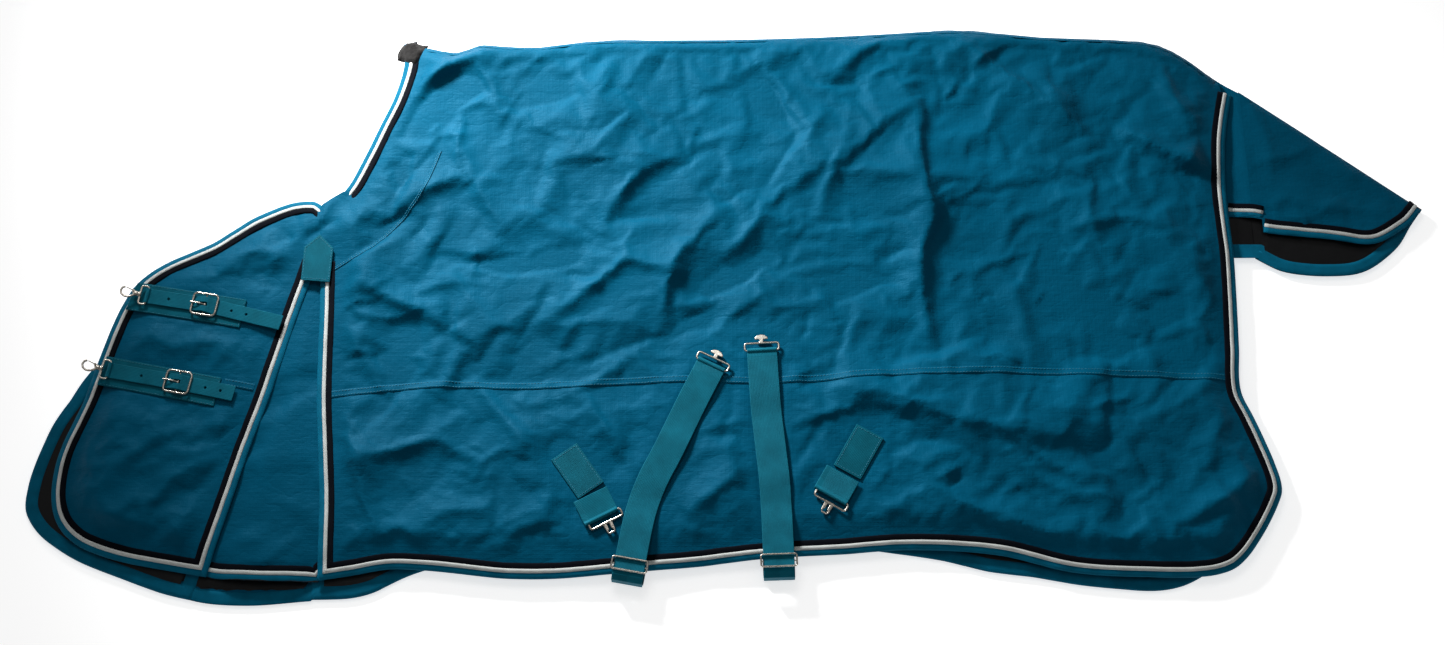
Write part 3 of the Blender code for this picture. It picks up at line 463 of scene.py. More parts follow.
def strap_line(node, count=30):
    """Centre line in plan of a strap that runs mostly along Y, from its hem end to its hook."""
    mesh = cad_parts[node].data
    spots = np.array([v.co for v in mesh.vertices])
    ends = np.array([e.vertices for e in mesh.edges])
    a, b = spots[ends[:, 0]], spots[ends[:, 1]]
    found = []
    for y in np.linspace(spots[:, 1].min() + 0.016, spots[:, 1].max() - 0.016, count):
        crossing = (a[:, 1] > y) != (b[:, 1] > y)
        p, q = a[crossing], b[crossing]
        x = p[:, 0] + (y - p[:, 1]) / (q[:, 1] - p[:, 1]) * (q[:, 0] - p[:, 0])
        found.append(((x.min() + x.max()) / 2, y))
    return np.array(found)


STRAP_LINES = {end: strap_line(f"{end}_surcingle_strap") for end in ("front", "rear")}
FOOTPRINTS = [(line, BINDING) for line in STRAP_LINES.values()] + [
    footprint(node) for node in (
        *(f"{end}_{part}" for part in ("receiver_patch", "receiver_tab", "receiver_clip", "t_hook")
          for end in ("front", "rear")),
        *(f"{place}_chest_{part}" for part in ("band", "strap") for place in ("upper", "lower")),
        "gusset_tab",
    )
]


def off_hardware(plan):
    """Distance from the nearest strap, patch or fitting that lies on the near half."""
    return np.min([np.maximum(distance(plan, path)[0] - half, 0) for path, half in FOOTPRINTS], axis=0)


# ---- meshes ------------------------------------------------------------------------------------
def unwrap(data, uv):
    """Gives a mesh a UV map in metres, one pair for each vertex."""
    corner = np.zeros(len(data.loops), np.int32)
    data.loops.foreach_get("vertex_index", corner)
    layer = data.uv_layers.get("metres") or data.uv_layers.new(name="metres")
    layer.data.foreach_set("uv", np.asarray(uv, np.float32)[corner].ravel())


def mesh_piece(name, points, faces, paint, uv=None):
    """A smooth-shaded object; without a UV map of its own it takes its plan points."""
    data = bpy.data.meshes.new(name)
    points = np.asarray(points, float)
    data.from_pydata(points.tolist(), [], faces)
    data.shade_smooth()
    unwrap(data, points[:, :2] if uv is None else uv)
    data.materials.append(paint)
    made = bpy.data.objects.new(name, data)
    bpy.context.scene.collection.objects.link(made)
    return made


def baked(made):
    """Replaces an object's mesh with the one its modifiers give."""
    bpy.context.view_layer.update()
    graph = bpy.context.evaluated_depsgraph_get()
    data = bpy.data.meshes.new_from_object(made.evaluated_get(graph))
    made.modifiers.clear()
    old = made.data
    made.data = data
    bpy.data.meshes.remove(old)
    data.name = made.name
    return made


def places(made):
    found = np.zeros(len(made.data.vertices) * 3)
    made.data.vertices.foreach_get("co", found)
    return found.reshape(-1, 3)


def move_to(made, points):
    made.data.vertices.foreach_set("co", np.asarray(points, float).ravel())
    made.data.update()


def skin(name, rows, paint, close=False, capped=True):
    """A surface over rows of points.  Its UV map runs along the rows' path, then across it."""
    rows = np.asarray(rows, float)
    if capped:
        ends = [np.repeat(row.mean(0, keepdims=True), len(row), axis=0) for row in (rows[0], rows[-1])]
        rows = np.concatenate([ends[:1], rows, ends[1:]])
    count, width = rows.shape[:2]
    along = run_length(rows.mean(1))
    across = run_length(rows[count // 2])
    uv = np.stack(np.meshgrid(along, across, indexing="ij"), axis=-1).reshape(-1, 2)
    faces = []
    for i in range(count - 1):
        for j in range(width if close else width - 1):
            k = (j + 1) % width
            faces.append((i * width + j, i * width + k, (i + 1) * width + k, (i + 1) * width + j))
    return mesh_piece(name, rows.reshape(-1, 3), faces, paint, uv)


class Surface:
    """Heights of finished pieces under plan points."""

    def __init__(self, *pieces):
        points, faces = [], []
        for made in pieces:
            start = len(points)
            points += [tuple(p) for p in places(made)]
            faces += [[start + v for v in polygon.vertices] for polygon in made.data.polygons]
        self.tree = BVHTree.FromPolygons(points, faces)

    def heights(self, plan, otherwise):
        down = Vector((0, 0, -1))
        otherwise = np.broadcast_to(otherwise, len(plan))
        hits = [self.tree.ray_cast(Vector((x, y, 1)), down)[0] for x, y in plan]
        return np.array([hit.z if hit else spare for hit, spare in zip(hits, otherwise)])


def worn(made, voxel, rounds):
    """Modifiers that give an object dense faces and rounded edges."""
    remesh = made.modifiers.new("dense", "REMESH")
    remesh.mode = "VOXEL"
    remesh.voxel_size = voxel
    remesh.use_smooth_shade = True
    made.modifiers.new("worn", "SMOOTH").iterations = rounds


FRAMES = 22                             # length of the cloth simulation
DROP = np.array([0, 0, 0.0045])         # from the cloth to the padding it settles on
FARTHEST = 0.010                        # and how far from its drawn folds it may move


def settled(points, faces, held, growth):
    """Cloth simulation: the cloth grows a little, so it buckles, and lies down on its padding.

    Held is each point's share of pinning.
    """
    made = mesh_piece("settling", points, faces, SHELL)
    group = made.vertex_groups.new(name="held")
    for i, share in enumerate(held):
        group.add([i], float(share), "REPLACE")
    padding = mesh_piece("padding", points - DROP, faces, SHELL)
    padding.modifiers.new("padding", "COLLISION")
    padding.collision.thickness_outer = 0.001
    cloth = made.modifiers.new("settle", "CLOTH")
    cloth.settings.quality = 5
    cloth.settings.mass = 0.05
    cloth.settings.tension_stiffness = 20
    cloth.settings.compression_stiffness = 20
    cloth.settings.shear_stiffness = 10
    cloth.settings.bending_stiffness = 0.25
    cloth.settings.air_damping = 4
    cloth.settings.vertex_group_mass = "held"
    cloth.settings.shrink_min = -growth
    cloth.settings.effector_weights.gravity = 0.25
    cloth.collision_settings.distance_min = 0.001
    cloth.point_cache.frame_end = FRAMES
    for number in range(1, FRAMES + 1):
        bpy.context.scene.frame_set(number)
    move = places(made.evaluated_get(bpy.context.evaluated_depsgraph_get())) - points
    bpy.context.scene.frame_set(1)
    for spare in (made, padding):
        bpy.data.objects.remove(spare)
    size = np.linalg.norm(move, axis=1, keepdims=True)
    return points + move * np.minimum(1, FARTHEST / np.maximum(size, 1e-9))


# ---- materials ---------------------------------------------------------------------------------
WAVE_SCALE = 2 * math.pi / 20           # scale of a wave texture whose bands are 1 m apart


class Paint:
    """A procedural material under construction."""

    def __init__(self, name, roughness, metallic=0.0, mapping="UV"):
        self.made = bpy.data.materials.new(name)
        self.made.use_nodes = True
        self.tree = self.made.node_tree
        self.surface = self.tree.nodes["Principled BSDF"]
        self.surface.inputs["Roughness"].default_value = roughness
        self.surface.inputs["Metallic"].default_value = metallic
        self.where = self.add("ShaderNodeTexCoord").outputs[mapping]

    def add(self, kind, inputs=None, **settings):
        node = self.tree.nodes.new(kind)
        for key, value in settings.items():
            setattr(node, key, value)
        for key, value in (inputs or {}).items():
            if isinstance(value, bpy.types.NodeSocket):
                self.tree.links.new(value, node.inputs[key])
            else:
                node.inputs[key].default_value = value
        return node

    def noise(self, scale, detail=3.0, stretch=None, roughness=0.55):
        vector = self.where
        if stretch:
            vector = self.add("ShaderNodeMapping", {"Vector": vector, "Scale": stretch}).outputs["Vector"]
        made = self.add("ShaderNodeTexNoise", {
            "Vector": vector, "Scale": scale, "Detail": detail, "Roughness": roughness,
        })
        return made.outputs["Fac"]

    def waves(self, pitch, direction, distortion=0.0):
        """Threads with the given pitch in metres, across X or Y."""
        made = self.add("ShaderNodeTexWave", {
            "Vector": self.where, "Scale": WAVE_SCALE / pitch, "Distortion": distortion, "Detail Scale": 2.0,
        }, bands_direction=direction)
        return made.outputs["Fac"]

    def weave(self, pitch):
        """Warp over weft."""
        return self.math("MULTIPLY", self.waves(pitch, "X"), self.waves(pitch, "Y"))

    def patches(self, scale, low=0.3, high=0.7, detail=4.0):
        """Soft-edged patches, from 0 to 1."""
        return self.span(self.noise(scale, detail), low, high, 0.0, 1.0)

    def math(self, operation, a, b=0.5):
        return self.add("ShaderNodeMath", {0: a, 1: b}, operation=operation).outputs[0]

    def span(self, value, low, high, to_low, to_high):
        made = self.add("ShaderNodeMapRange", {
            "Value": value, "From Min": low, "From Max": high, "To Min": to_low, "To Max": to_high,
        })
        return made.outputs["Result"]

    def mix(self, share, a, b):
        made = self.add("ShaderNodeMix", data_type="RGBA")
        for key, value in (("Factor", share), ("A", a), ("B", b)):
            sockets = [s for s in made.inputs if s.name == key and s.enabled]
            if isinstance(value, bpy.types.NodeSocket):
                self.tree.links.new(value, sockets[0])
            else:
                sockets[0].default_value = value
        return [s for s in made.outputs if s.enabled][0]

    def bump(self, height, strength, depth, before=None):
        inputs = {"Height": height, "Strength": strength, "Distance": depth}
        if before:
            inputs["Normal"] = before
        return self.add("ShaderNodeBump", inputs).outputs["Normal"]

    def set(self, **sockets):
        for key, value in sockets.items():
            target = self.surface.inputs[key.replace("_", " ")]
            if isinstance(value, bpy.types.NodeSocket):
                self.tree.links.new(value, target)
            else:
                target.default_value = value
        return self.made


def shade(colour, factor):
    return (*[channel * factor for channel in colour], 1.0)


def ripstop(name, colour):
    """Satin shell cloth: fine warp and weft, a raised grid every 6 mm, dye that varies a little."""
    paint = Paint(name, 0.44)
    mottled = paint.patches(5.0)
    streaks = paint.span(paint.noise(60.0, 2.0, (1.0, 12.0, 1.0)), 0.25, 0.75, 0.0, 1.0)
    base = paint.mix(mottled, shade(colour, 0.80), shade(colour, 1.18))
    tint = paint.mix(paint.math("MULTIPLY", streaks, 0.35), base, shade(colour, 1.45))
    lines = [paint.math("POWER", paint.waves(0.0062, direction), 14.0) for direction in "XY"]
    cloth = paint.bump(paint.weave(0.0009), 0.25, 0.0002)
    ribs = paint.bump(paint.math("MAXIMUM", *lines), 0.30, 0.0003, cloth)
    rumple = paint.bump(paint.noise(90.0, 5.0, roughness=0.6), 0.35, 0.0014, ribs)
    for scale, depth in ((9.0, 0.0050), (22.0, 0.0024)):
        swell = paint.noise(scale, 3.0, (1.0, 1.7, 1.0))
        fold = paint.math("ABSOLUTE", paint.math("SUBTRACT", swell, 0.5))
        rumple = paint.bump(paint.math("POWER", fold, 0.6), 0.30, depth, rumple)
    gloss = paint.span(paint.noise(24.0, 3.0), 0.3, 0.7, 0.47, 0.62)
    return paint.set(
        Base_Color=tint, Roughness=gloss, Normal=rumple,
        Specular_IOR_Level=0.11, Specular_Tint=(0.01, 0.58, 1.0, 1.0),
        Sheen_Weight=0.02, Sheen_Roughness=0.45, Sheen_Tint=(0.01, 0.60, 1.0, 1.0),
    )


def woven_tape(name, colour, pitch=0.0011, roughness=0.75, depth=0.0004, shine=0.25):
    """Ribbed webbing or binding tape, ribs across its length with a painted highlight on each rib's crest,
    worn paler in patches.
    """
    paint = Paint(name, roughness)
    tint = paint.mix(paint.patches(35.0, 0.35), shade(colour, 0.78), shade(colour, 1.22))
    ribs = paint.waves(pitch, "X", distortion=0.6)
    strands = paint.waves(pitch * 1.9, "Y", distortion=0.4)
    # painted highlight: each rib's crest is painted up to a third of the way towards a paler tone
    tint = paint.mix(paint.math("MULTIPLY", ribs, 0.35), tint, shade(colour, 1.5))
    height = paint.math("ADD", ribs, paint.math("MULTIPLY", strands, 0.5))
    weave = paint.bump(height, 0.55, depth)
    rough = paint.bump(paint.noise(400.0, 3.0), 0.25, 0.0003, weave)
    glint = (*[channel / max(colour) for channel in colour], 1.0)
    return paint.set(
        Base_Color=tint, Normal=rough, Specular_IOR_Level=shine, Specular_Tint=glint,
        Sheen_Weight=0.3 * shine, Sheen_Roughness=0.6, Sheen_Tint=glint,
    )


def braid(name, colour):
    """Reflective cord: a tight diagonal braid of pale thread, with painted shade, a darker grey, between the
    strands.
    """
    paint = Paint(name, 0.40)
    lean = paint.add("ShaderNodeMapping", {"Vector": paint.where, "Rotation": (0, 0, 0.7)}).outputs["Vector"]
    paint.where, upright = lean, paint.where
    one, two = paint.waves(0.0017, "X"), paint.waves(0.0017, "Y")
    paint.where = upright
    plait = paint.math("MAXIMUM", one, two)
    thread_tone = paint.mix(paint.patches(45.0, high=0.75), shade(colour, 0.80), shade(colour, 1.10))
    # painted shade: where the braid's bump is low, between the strands, the thread is painted down to half
    # its tone
    tint = paint.mix(paint.span(plait, 0.35, 0.8, 0.0, 1.0), shade(colour, 0.50), thread_tone)
    return paint.set(Base_Color=tint, Normal=paint.bump(plait, 0.7, 0.0006), Sheen_Weight=0.2)


def satin(name, colour):
    """Slippery nylon lining, with the fine cross lines of its weave."""
    paint = Paint(name, 0.34)
    tint = paint.mix(paint.patches(9.0), shade(colour, 0.7), shade(colour, 1.6))
    creased = paint.bump(paint.noise(55.0, 5.0), 0.5, 0.002, paint.bump(paint.weave(0.0008), 0.2, 0.0002))
    return paint.set(Base_Color=tint, Normal=creased, Specular_IOR_Level=0.22)


def pile(name, colour):
    """Short fleece, with painted light on its tufts' tips and painted shade in the hollows between them."""
    paint = Paint(name, 0.95)
    tufts = paint.noise(700.0, 4.0, roughness=0.7)
    # painted light and shade: the tufts' tips are painted paler and the hollows between them darker, after
    # the same noise as the bump
    tint = paint.mix(tufts, shade(colour, 0.5), shade(colour, 2.6))
    return paint.set(
        Base_Color=tint, Normal=paint.bump(tufts, 0.9, 0.0015), Specular_IOR_Level=0.1,
        Sheen_Weight=0.06, Sheen_Roughness=0.7,
    )


def plated(name, colour):
    """Nickel plate: fine scratches and a duller film in patches."""
    paint = Paint(name, 0.22, metallic=1.0, mapping="Object")
    tint = paint.mix(paint.patches(140.0, 0.35, detail=5.0), shade(colour, 0.74), shade(colour, 1.04))
    gloss = paint.span(paint.noise(320.0, 4.0), 0.3, 0.7, 0.16, 0.36)
    scratches = paint.bump(paint.noise(900.0, 2.0, (1.0, 14.0, 6.0)), 0.12, 0.0002)
    return paint.set(Base_Color=tint, Roughness=gloss, Normal=scratches)


def thread(name, colour):
    """Twisted sewing thread, with painted shade in the grooves of its twist and painted light on its ridges.
    """
    paint = Paint(name, 0.6)
    twist = paint.waves(0.0006, "X")
    # painted shade and light: darker in the grooves of the twist, paler on its ridges
    tint = paint.mix(twist, shade(colour, 0.7), shade(colour, 1.3))
    return paint.set(Base_Color=tint, Normal=paint.bump(twist, 0.5, 0.0002))


SHELL = ripstop("ripstop_shell", (0.0002, 0.053, 0.101))
TAPE = woven_tape("edge_tape", (0.0012, 0.082, 0.145), 0.0009, 0.7, 0.0003)
BAND = woven_tape("black_band", (0.0010, 0.0012, 0.0018), 0.0011, 0.75, shine=0.06)
CORD = braid("braided_cord", (0.55, 0.58, 0.56))
NYLON = satin("nylon_lining", (0.0022, 0.0024, 0.0028))
WEBBING = woven_tape("webbing", (0.0030, 0.076, 0.112), 0.0012, 0.62, 0.0005)
PATCHING = woven_tape("patch_webbing", (0.0020, 0.060, 0.088), 0.0012, 0.72, 0.0005)
FLEECE = pile("withers_fleece", (0.0040, 0.0036, 0.0034))
NICKEL = plated("nickel_plate", (0.52, 0.48, 0.42))
THREAD = thread("teal_thread", (0.006, 0.160, 0.250))


# ---- padded panels -----------------------------------------------------------------------------
NEAR_BODY = Panel("near", True, ["near_hem_binding", "near_neck_binding"], 8, spine=True)
NEAR_CHEST = Panel("near_chest", True, ["near_chest_binding"], -10)
FAR_BODY = Panel("far", False, ["far_hem_binding", "far_neck_binding"], 8, spine=True)
FAR_CHEST = Panel("far_chest", False, ["far_chest_binding"], -10)
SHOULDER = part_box("gusset_tab")
SEAM_X = (SHOULDER[0].x + SHOULDER[1].x) / 2    # where body and chest meet above the gusset
SEAM_LOW = SHOULDER[0].y + 0.02
SEAM_HIGH = SHOULDER[1].y + 0.09
SHOULDER_CORNER = [
    (-0.615, 0.226), (-0.627, 0.2215), (-0.645, 0.209), (-0.662, 0.1965), (SEAM_X - 0.006, 0.100),
]
SOFTEN = 0.0007                         # how softly folds meet their ceiling
RUMPLE = 0.0009                         # height of the ripples of an unpadded sheet
SUNK = 0.0035                           # how far a sheet's end lies under the other at the shoulder


def at_shoulder(ring):
    """Which points of a panel's outline are its shoulder end."""
    return (ring[:, 1] > SEAM_LOW) & (ring[:, 1] < SEAM_HIGH) & (np.abs(ring[:, 0] - SEAM_X) < 0.05)


def joined_at_shoulder(panel, side):
    """A panel's outline with its shoulder end drawn out to the line where body and chest meet."""
    found = grown(panel)
    found[at_shoulder(found), 0] = SEAM_X + side
    return found


def shoulder_flap(panel):
    """The near body's outline, with a corner that lies over the lower end of the neck binding."""
    ring = grown(panel)
    turned, count = first_run(ring, at_shoulder(ring))
    return np.vstack([SHOULDER_CORNER, turned[count:]])


def shoulder_share(plan):
    """How much of a point's height is common to both panels, near the line where they meet."""
    line = np.array([[SEAM_X, SEAM_LOW + 0.01], [SEAM_X, SEAM_HIGH - 0.01]])
    return 1 - smoothstep((distance(plan, line)[0] - 0.014) / 0.03)


def shoulder_level(plan):
    """Height that both panels share at the shoulder."""
    over = (NEAR_BODY.levels(plan)[1] + NEAR_CHEST.levels(plan)[1]) / 2
    return over + main_folds(plan, SHOULDER_FOLDS)


def looseness(panel, plan, clear, least, rim, pressed, reach):
    """How freely folds rise: less beside a binding and round what lies clear away, none at the spine."""
    beside = least + (1 - least) * smoothstep((nearest(plan, panel.sewn) - TOUCH) / rim)
    if panel.spine is not None:
        beside = beside * smoothstep((distance(plan, panel.spine)[0] - 0.007) / 0.03)
    return beside * (1 - pressed * np.exp(-(clear / reach) ** 2))


def liveliness(plan):
    """Crumples are higher over the rump than over the rest of the rug."""
    return 1 + 0.35 * smoothstep((plan[:, 0] - 0.15) / 0.3)


def carry(made, body):
    """Rides on a body.  What a chest panel carries is fixed where it lies instead."""
    if body in ("near_chest", "far_chest"):
        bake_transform(made)
    else:
        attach(made, body)


def padded(name, panel, ring, folds, body, nodes, crumple, growth):
    """The upper sheet of a near panel, with its folds, its crumples and its simulation."""
    plan, faces = sheet(ring, COARSE)
    over = panel.levels(plan)[1]
    free = looseness(panel, plan, off_hardware(plan), 0.18, 0.045, 0.85, 0.030)
    rise = 1.5 * main_folds(plan, folds) + crumple * liveliness(plan) * (
        small_creases(plan, 80, 0.13, 0.0050)
        + 0.0048 * facets(plan, 0.110, 0.6, 1.7) + 0.0018 * facets(plan, 0.045, 0.4, 1.5)
    )
    points = np.column_stack([plan, over + rise * free])
    points = settled(points, faces, 1 - smoothstep((free - 0.30) / 0.5), growth)
    made = mesh_piece(name, points, faces, SHELL, plan)
    made.modifiers.new("smoother", "SUBSURF").levels = 1
    points = places(baked(made))
    plan = points[:, :2]
    clear = off_hardware(plan)
    free = looseness(panel, plan, clear, 0.2, 0.035, 0.8, 0.020)
    height = points[:, 2] + crumple * liveliness(plan) * free * (
        small_creases(plan, 190, 0.055, 0.0022) + 0.0009 * facets(plan, 0.020, 0.5, 1.6)
    )
    under, over = panel.levels(plan)
    height = np.maximum(height, over - 0.55 * (over - under))
    ceiling = np.minimum(NEAR_HIGH - 0.0004 + 0.45 * clear, CEILING)
    height = ceiling - SOFTEN * np.logaddexp(0, (ceiling - height) / SOFTEN)
    height += (shoulder_level(plan) - height) * shoulder_share(plan)
    beyond = (plan[:, 0] - SEAM_X) * (1 if panel is NEAR_CHEST else -1)
    sunk = smoothstep(beyond / 0.008) * (np.abs(beyond) < 0.03) * (plan[:, 1] > SEAM_LOW)
    points[:, 2] = height - SUNK * sunk
    move_to(made, points)
    carry(made, body)
    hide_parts(*nodes)
    return made


def plain_sheet(name, panel, ring, upper, body, paint, nodes):
    """A lining, or the far half's shell: a sheet with seeded ripples and no simulation."""
    plan, faces = sheet(ring, 0.012)
    under, over = panel.levels(plan)
    rim = smoothstep((nearest(plan, panel.sewn) - TOUCH) / 0.04)
    if panel.spine is not None:
        rim = np.minimum(rim, smoothstep(distance(plan, panel.spine)[0] / 0.04))
    ripple = facets(plan, 0.055, 0.5, 1.8) + 0.5 * facets(plan, 0.022, 0.9, 1.6)
    if upper:
        level = over + RUMPLE * rim * (ripple - 1.5)
    else:
        level = under + RUMPLE * rim * (ripple + 1.5)
        faces = [face[::-1] for face in faces]
    made = mesh_piece(name, np.column_stack([plan, level]), faces, paint)
    carry(made, body)
    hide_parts(*nodes)


BODY_RING = shoulder_flap(NEAR_BODY)
CHEST_RING = joined_at_shoulder(NEAR_CHEST, 0.012)
FAR_RING = joined_at_shoulder(FAR_BODY, -0.008)
FAR_CHEST_RING = joined_at_shoulder(FAR_CHEST, 0.002)

near_body = padded(
    "near_body_cloth", NEAR_BODY, BODY_RING, BODY_FOLDS, "near_side", ["near_shell", "near_fill"], 1.0, 0.013,
)
near_chest = padded(
    "near_chest_cloth", NEAR_CHEST, CHEST_RING, CHEST_FOLDS, "near_chest",
    ["near_chest_shell", "near_chest_fill"], 0.7, 0.012,
)
NEAR_TOP = Surface(near_body, near_chest)

for sheet_name, owner, ring, upper, rider, paint, nodes in (
    ("near_body_lining", NEAR_BODY, BODY_RING, False, "near_side", NYLON, ["near_lining"]),
    ("near_chest_inside", NEAR_CHEST, CHEST_RING, False, "near_chest", NYLON, ["near_chest_lining"]),
    ("far_body_lining", FAR_BODY, FAR_RING, True, "far_side", NYLON, ["far_lining", "far_fill"]),
    ("far_body_cloth", FAR_BODY, FAR_RING, False, "far_side", SHELL, ["far_shell"]),
    ("far_chest_inside", FAR_CHEST, FAR_CHEST_RING, True, "far_chest", NYLON,
     ["far_chest_lining", "far_chest_fill"]),
    ("far_chest_cloth", FAR_CHEST, FAR_CHEST_RING, False, "far_chest", SHELL, ["far_chest_shell"]),
):
    plain_sheet(sheet_name, owner, ring, upper, rider, paint, nodes)


# ---- edge bindings -----------------------------------------------------------------------------
# Each section runs across the binding.  A point is (share of the width from the outer edge,
# 0 for the lining's level or 1 for the shell's level, height above it).
TAPE_SECTION = [
    (0.86, 0, -0.0010), (0.84, 0, 0.0004), (0.60, 0, 0.0007), (0.30, 0, 0.0007), (0.10, 0, 0.0004),
    (0.02, 0.28, 0), (0.0, 0.5, 0), (0.02, 0.75, 0), (0.08, 1, 0.0001), (0.20, 1, 0.0008),
    (0.34, 1, 0.0009), (0.42, 1, 0.0004), (0.46, 1, -0.0012),
]
BAND_SECTION = [
    (0.54, 1, -0.0012), (0.60, 1, 0.0006), (0.66, 1, 0.0010), (0.82, 1, 0.0011), (0.96, 1, 0.0010),
    (1.00, 1, 0.0006), (1.03, 1, -0.0012),
]
CORD_SECTION = [
    (0.50 + 0.135 * math.cos(a), 1, 0.0006 + 0.0017 * math.sin(a))
    for a in np.arange(12) * math.pi / 6
]


def bind(name, outer, inner, panel, body, near_surface=None):
    """Tape round an open edge, with a braided cord and a black band on the shell side.

    With the near half's surface it follows that, and its shoulder end dives under the cloth there.
    """
    where = stations(outer, 0.006)
    a, b = curve(outer, where), curve(inner, where)
    under, over = panel.levels(a)
    under_in, over_in = panel.levels(b)
    if near_surface:
        probe = b + (b - a) * 0.12
        found = near_surface.heights(probe, over_in)
        reach = np.convolve(np.pad(found, 3, "edge"), np.ones(7) / 7, "valid")
        over_in = np.maximum(found, reach)
    along = run_length(a)
    wave = 0.0005 * np.sin(along * 61) + 0.0004 * np.sin(along * 143 + 1.3)
    for spot in SHOULDER_ENDS if near_surface else ():
        wave = wave - 0.0055 * (1 - smoothstep(np.linalg.norm(a - spot, axis=1) / 0.022))
    facing = 1 if panel.near else -1
    shell_out, lining_out = (over - 0.0006, under) if panel.near else (under, over)
    shell_in, lining_in = (over_in, under_in) if panel.near else (under_in, over_in)

    def rows(section):
        found = []
        for share, level, lift in section:
            plan = a + (b - a) * share
            ease = smoothstep(share)
            shell = shell_out + (shell_in - shell_out) * ease
            lining = lining_out + (lining_in - lining_out) * ease
            height = lining + (shell - lining) * level
            away = facing * (lift if level == 1 else -lift if level == 0 else 0)
            found.append(np.column_stack([plan, height + away + wave * level * 0.6]))
        return np.stack(found, axis=1)

    for part, section, paint, close in (
        ("tape", TAPE_SECTION, TAPE, False), ("band", BAND_SECTION, BAND, False),
        ("cord", CORD_SECTION, CORD, True),
    ):
        made = skin(f"{name}_{part}", rows(section), paint, close=close)
        if body:
            carry(made, body)
        else:
            hang(made)


def bind_hem(name, path, spacing, panel, body):
    """Binds an edge that has no CAD binding, with the cloth on the left of its path."""
    outer = smooth_path(path, spacing)
    bind(name, outer, outer + left_of(outer) * BINDING, panel, body)


# Outer and inner edge of the near chest's binding where it runs in under the cloth.
SHOULDER_TUCK = [(-0.651, 0.191), (-0.660, 0.168)]
SHOULDER_ENDS = [np.array(SHOULDER_TUCK[0]), NEAR_BODY.bound[1][-1]]

for owner, rider, top in (
    (NEAR_BODY, "near_side", NEAR_TOP), (NEAR_CHEST, "near_chest", NEAR_TOP),
    (FAR_BODY, "far_side", None), (FAR_CHEST, "far_chest", None),
):
    for node, edges in owner.bindings.items():
        if owner is NEAR_CHEST:
            edges = [np.vstack([tuck, edge]) for tuck, edge in zip(SHOULDER_TUCK, edges)]
        bind(node, *edges, owner, rider, top)
        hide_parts(node)


# ---- shoulder gussets --------------------------------------------------------------------------
def two_sheets(node, owner, body, spacing, crumple, limits):
    """Shell and lining of a piece of unpadded cloth that reaches its own hem."""
    plan, faces = sheet(owner.ring, spacing)
    under, over = owner.levels(plan)
    rim = smoothstep(distance(plan, closed(owner.ring))[0] / 0.03)
    tucked = 0.0014 * smoothstep((BINDING - distance(plan, owner.hem)[0]) / 0.004)
    folds = np.clip(crumple(plan), *limits) * rim * (tucked == 0)
    over, under = over - tucked + folds, under + tucked + folds
    shell, lining = (over, under) if owner.near else (under, over)
    front = mesh_piece(f"{node}_cloth", np.column_stack([plan, shell]), faces, SHELL)
    back = mesh_piece(f"{node}_{owner.back}", np.column_stack([plan, lining]), faces, NYLON)
    for made in (front, back):
        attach(made, body)
    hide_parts(node)


CHEST_REACH = (-0.032, 0.011)           # how far the corner runs on under the chest panel


class Insert:
    """The cloth of a gusset, which shows between the two panels' edges and lies inside them."""

    back = "inside"

    def __init__(self, node, body, chest, near):
        self.near = near
        self.sides = (body, chest)
        ring = outline(node)
        top = ring[:, 1] > 0
        ring[top, 0] = SEAM_X + np.where(ring[top, 0] > SEAM_X, 0.017, -0.019)
        ring[top, 1] = SHOULDER[0].y + 0.03
        self.ring = np.roll(ring, -int(np.argmin(ring[:, 0])), axis=0)
        self.ring[0] += CHEST_REACH
        self.hem = self.ring[:int(np.argmax(self.ring[:, 0])) + 1]
        self.edges = [body.bound[0][:9], chest.bound[0][-11:]]

    def levels(self, plan):
        """Underside and upper side."""
        body, chest = [side.levels(plan) for side in self.sides]
        slack = smoothstep(nearest(plan, self.edges) / 0.045)
        slack = slack * (1 - smoothstep((plan[:, 1] + 0.02) / 0.06))
        if self.near:
            over = np.minimum(body[0], chest[0]) - 0.0016 + 0.0050 * slack
            return over - 0.0022, over
        under = FAR_RIM + 0.4 * EDGE_THICK + np.zeros(len(plan))
        return under, under + 0.0014


def gusset(node, insert, body):
    """Both sheets of a gusset and the binding of its hem."""
    two_sheets(
        node, insert, body, 0.008,
        lambda plan: small_creases(plan, 40, 0.12, 0.0030) + 0.0016 * facets(plan, 0.045, 1.2, 1.8),
        (-0.0012, 0.004 if insert.near else 0.0004),
    )
    bind_hem(f"{node}_hem", insert.hem, 0.012, insert, body)


gusset("near_gusset", Insert("near_gusset", NEAR_BODY, NEAR_CHEST, True), "near_side")
gusset("far_gusset", Insert("far_gusset", FAR_BODY, FAR_CHEST, False), "far_side")


# ---- back seam ---------------------------------------------------------------------------------
def seam_fold(name, edge, near, far, paint, start, under, reach):
    """Cloth folded round an edge, from the near sheet to the far one; returns it with its shares.

    It starts so far inside the edge, and lies so far under the sheets' levels.  A share runs from 0 on the
    far side to 1 on the near side; nothing in this script moves the points by it.
    """
    edge = smooth_path(edge, 0.008)
    inwards = left_of(edge)
    rows, shares = [], []
    for share in np.arange(-12, 13) / 12:
        plan = edge + inwards * (reach * abs(share) ** 1.6 + start)
        upper, lower = near(plan), far(plan)
        level = upper - under if share > 0 else lower + under if share < 0 else (upper + lower) / 2
        rows.append(np.column_stack([plan, level]))
        shares.append(smoothstep((share + 0.45) / 0.9))
    made = skin(name, np.stack(rows, axis=1), paint, capped=False)
    return made, np.tile(np.array(shares, np.float32), len(edge))


def back_seam(name, near, far, paint, start, under):
    """One layer of the fold along the back, fixed where it lies."""
    made, shares = seam_fold(name, NEAR_BODY.spine, near, far, paint, start, under, 0.009)
    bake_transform(made)


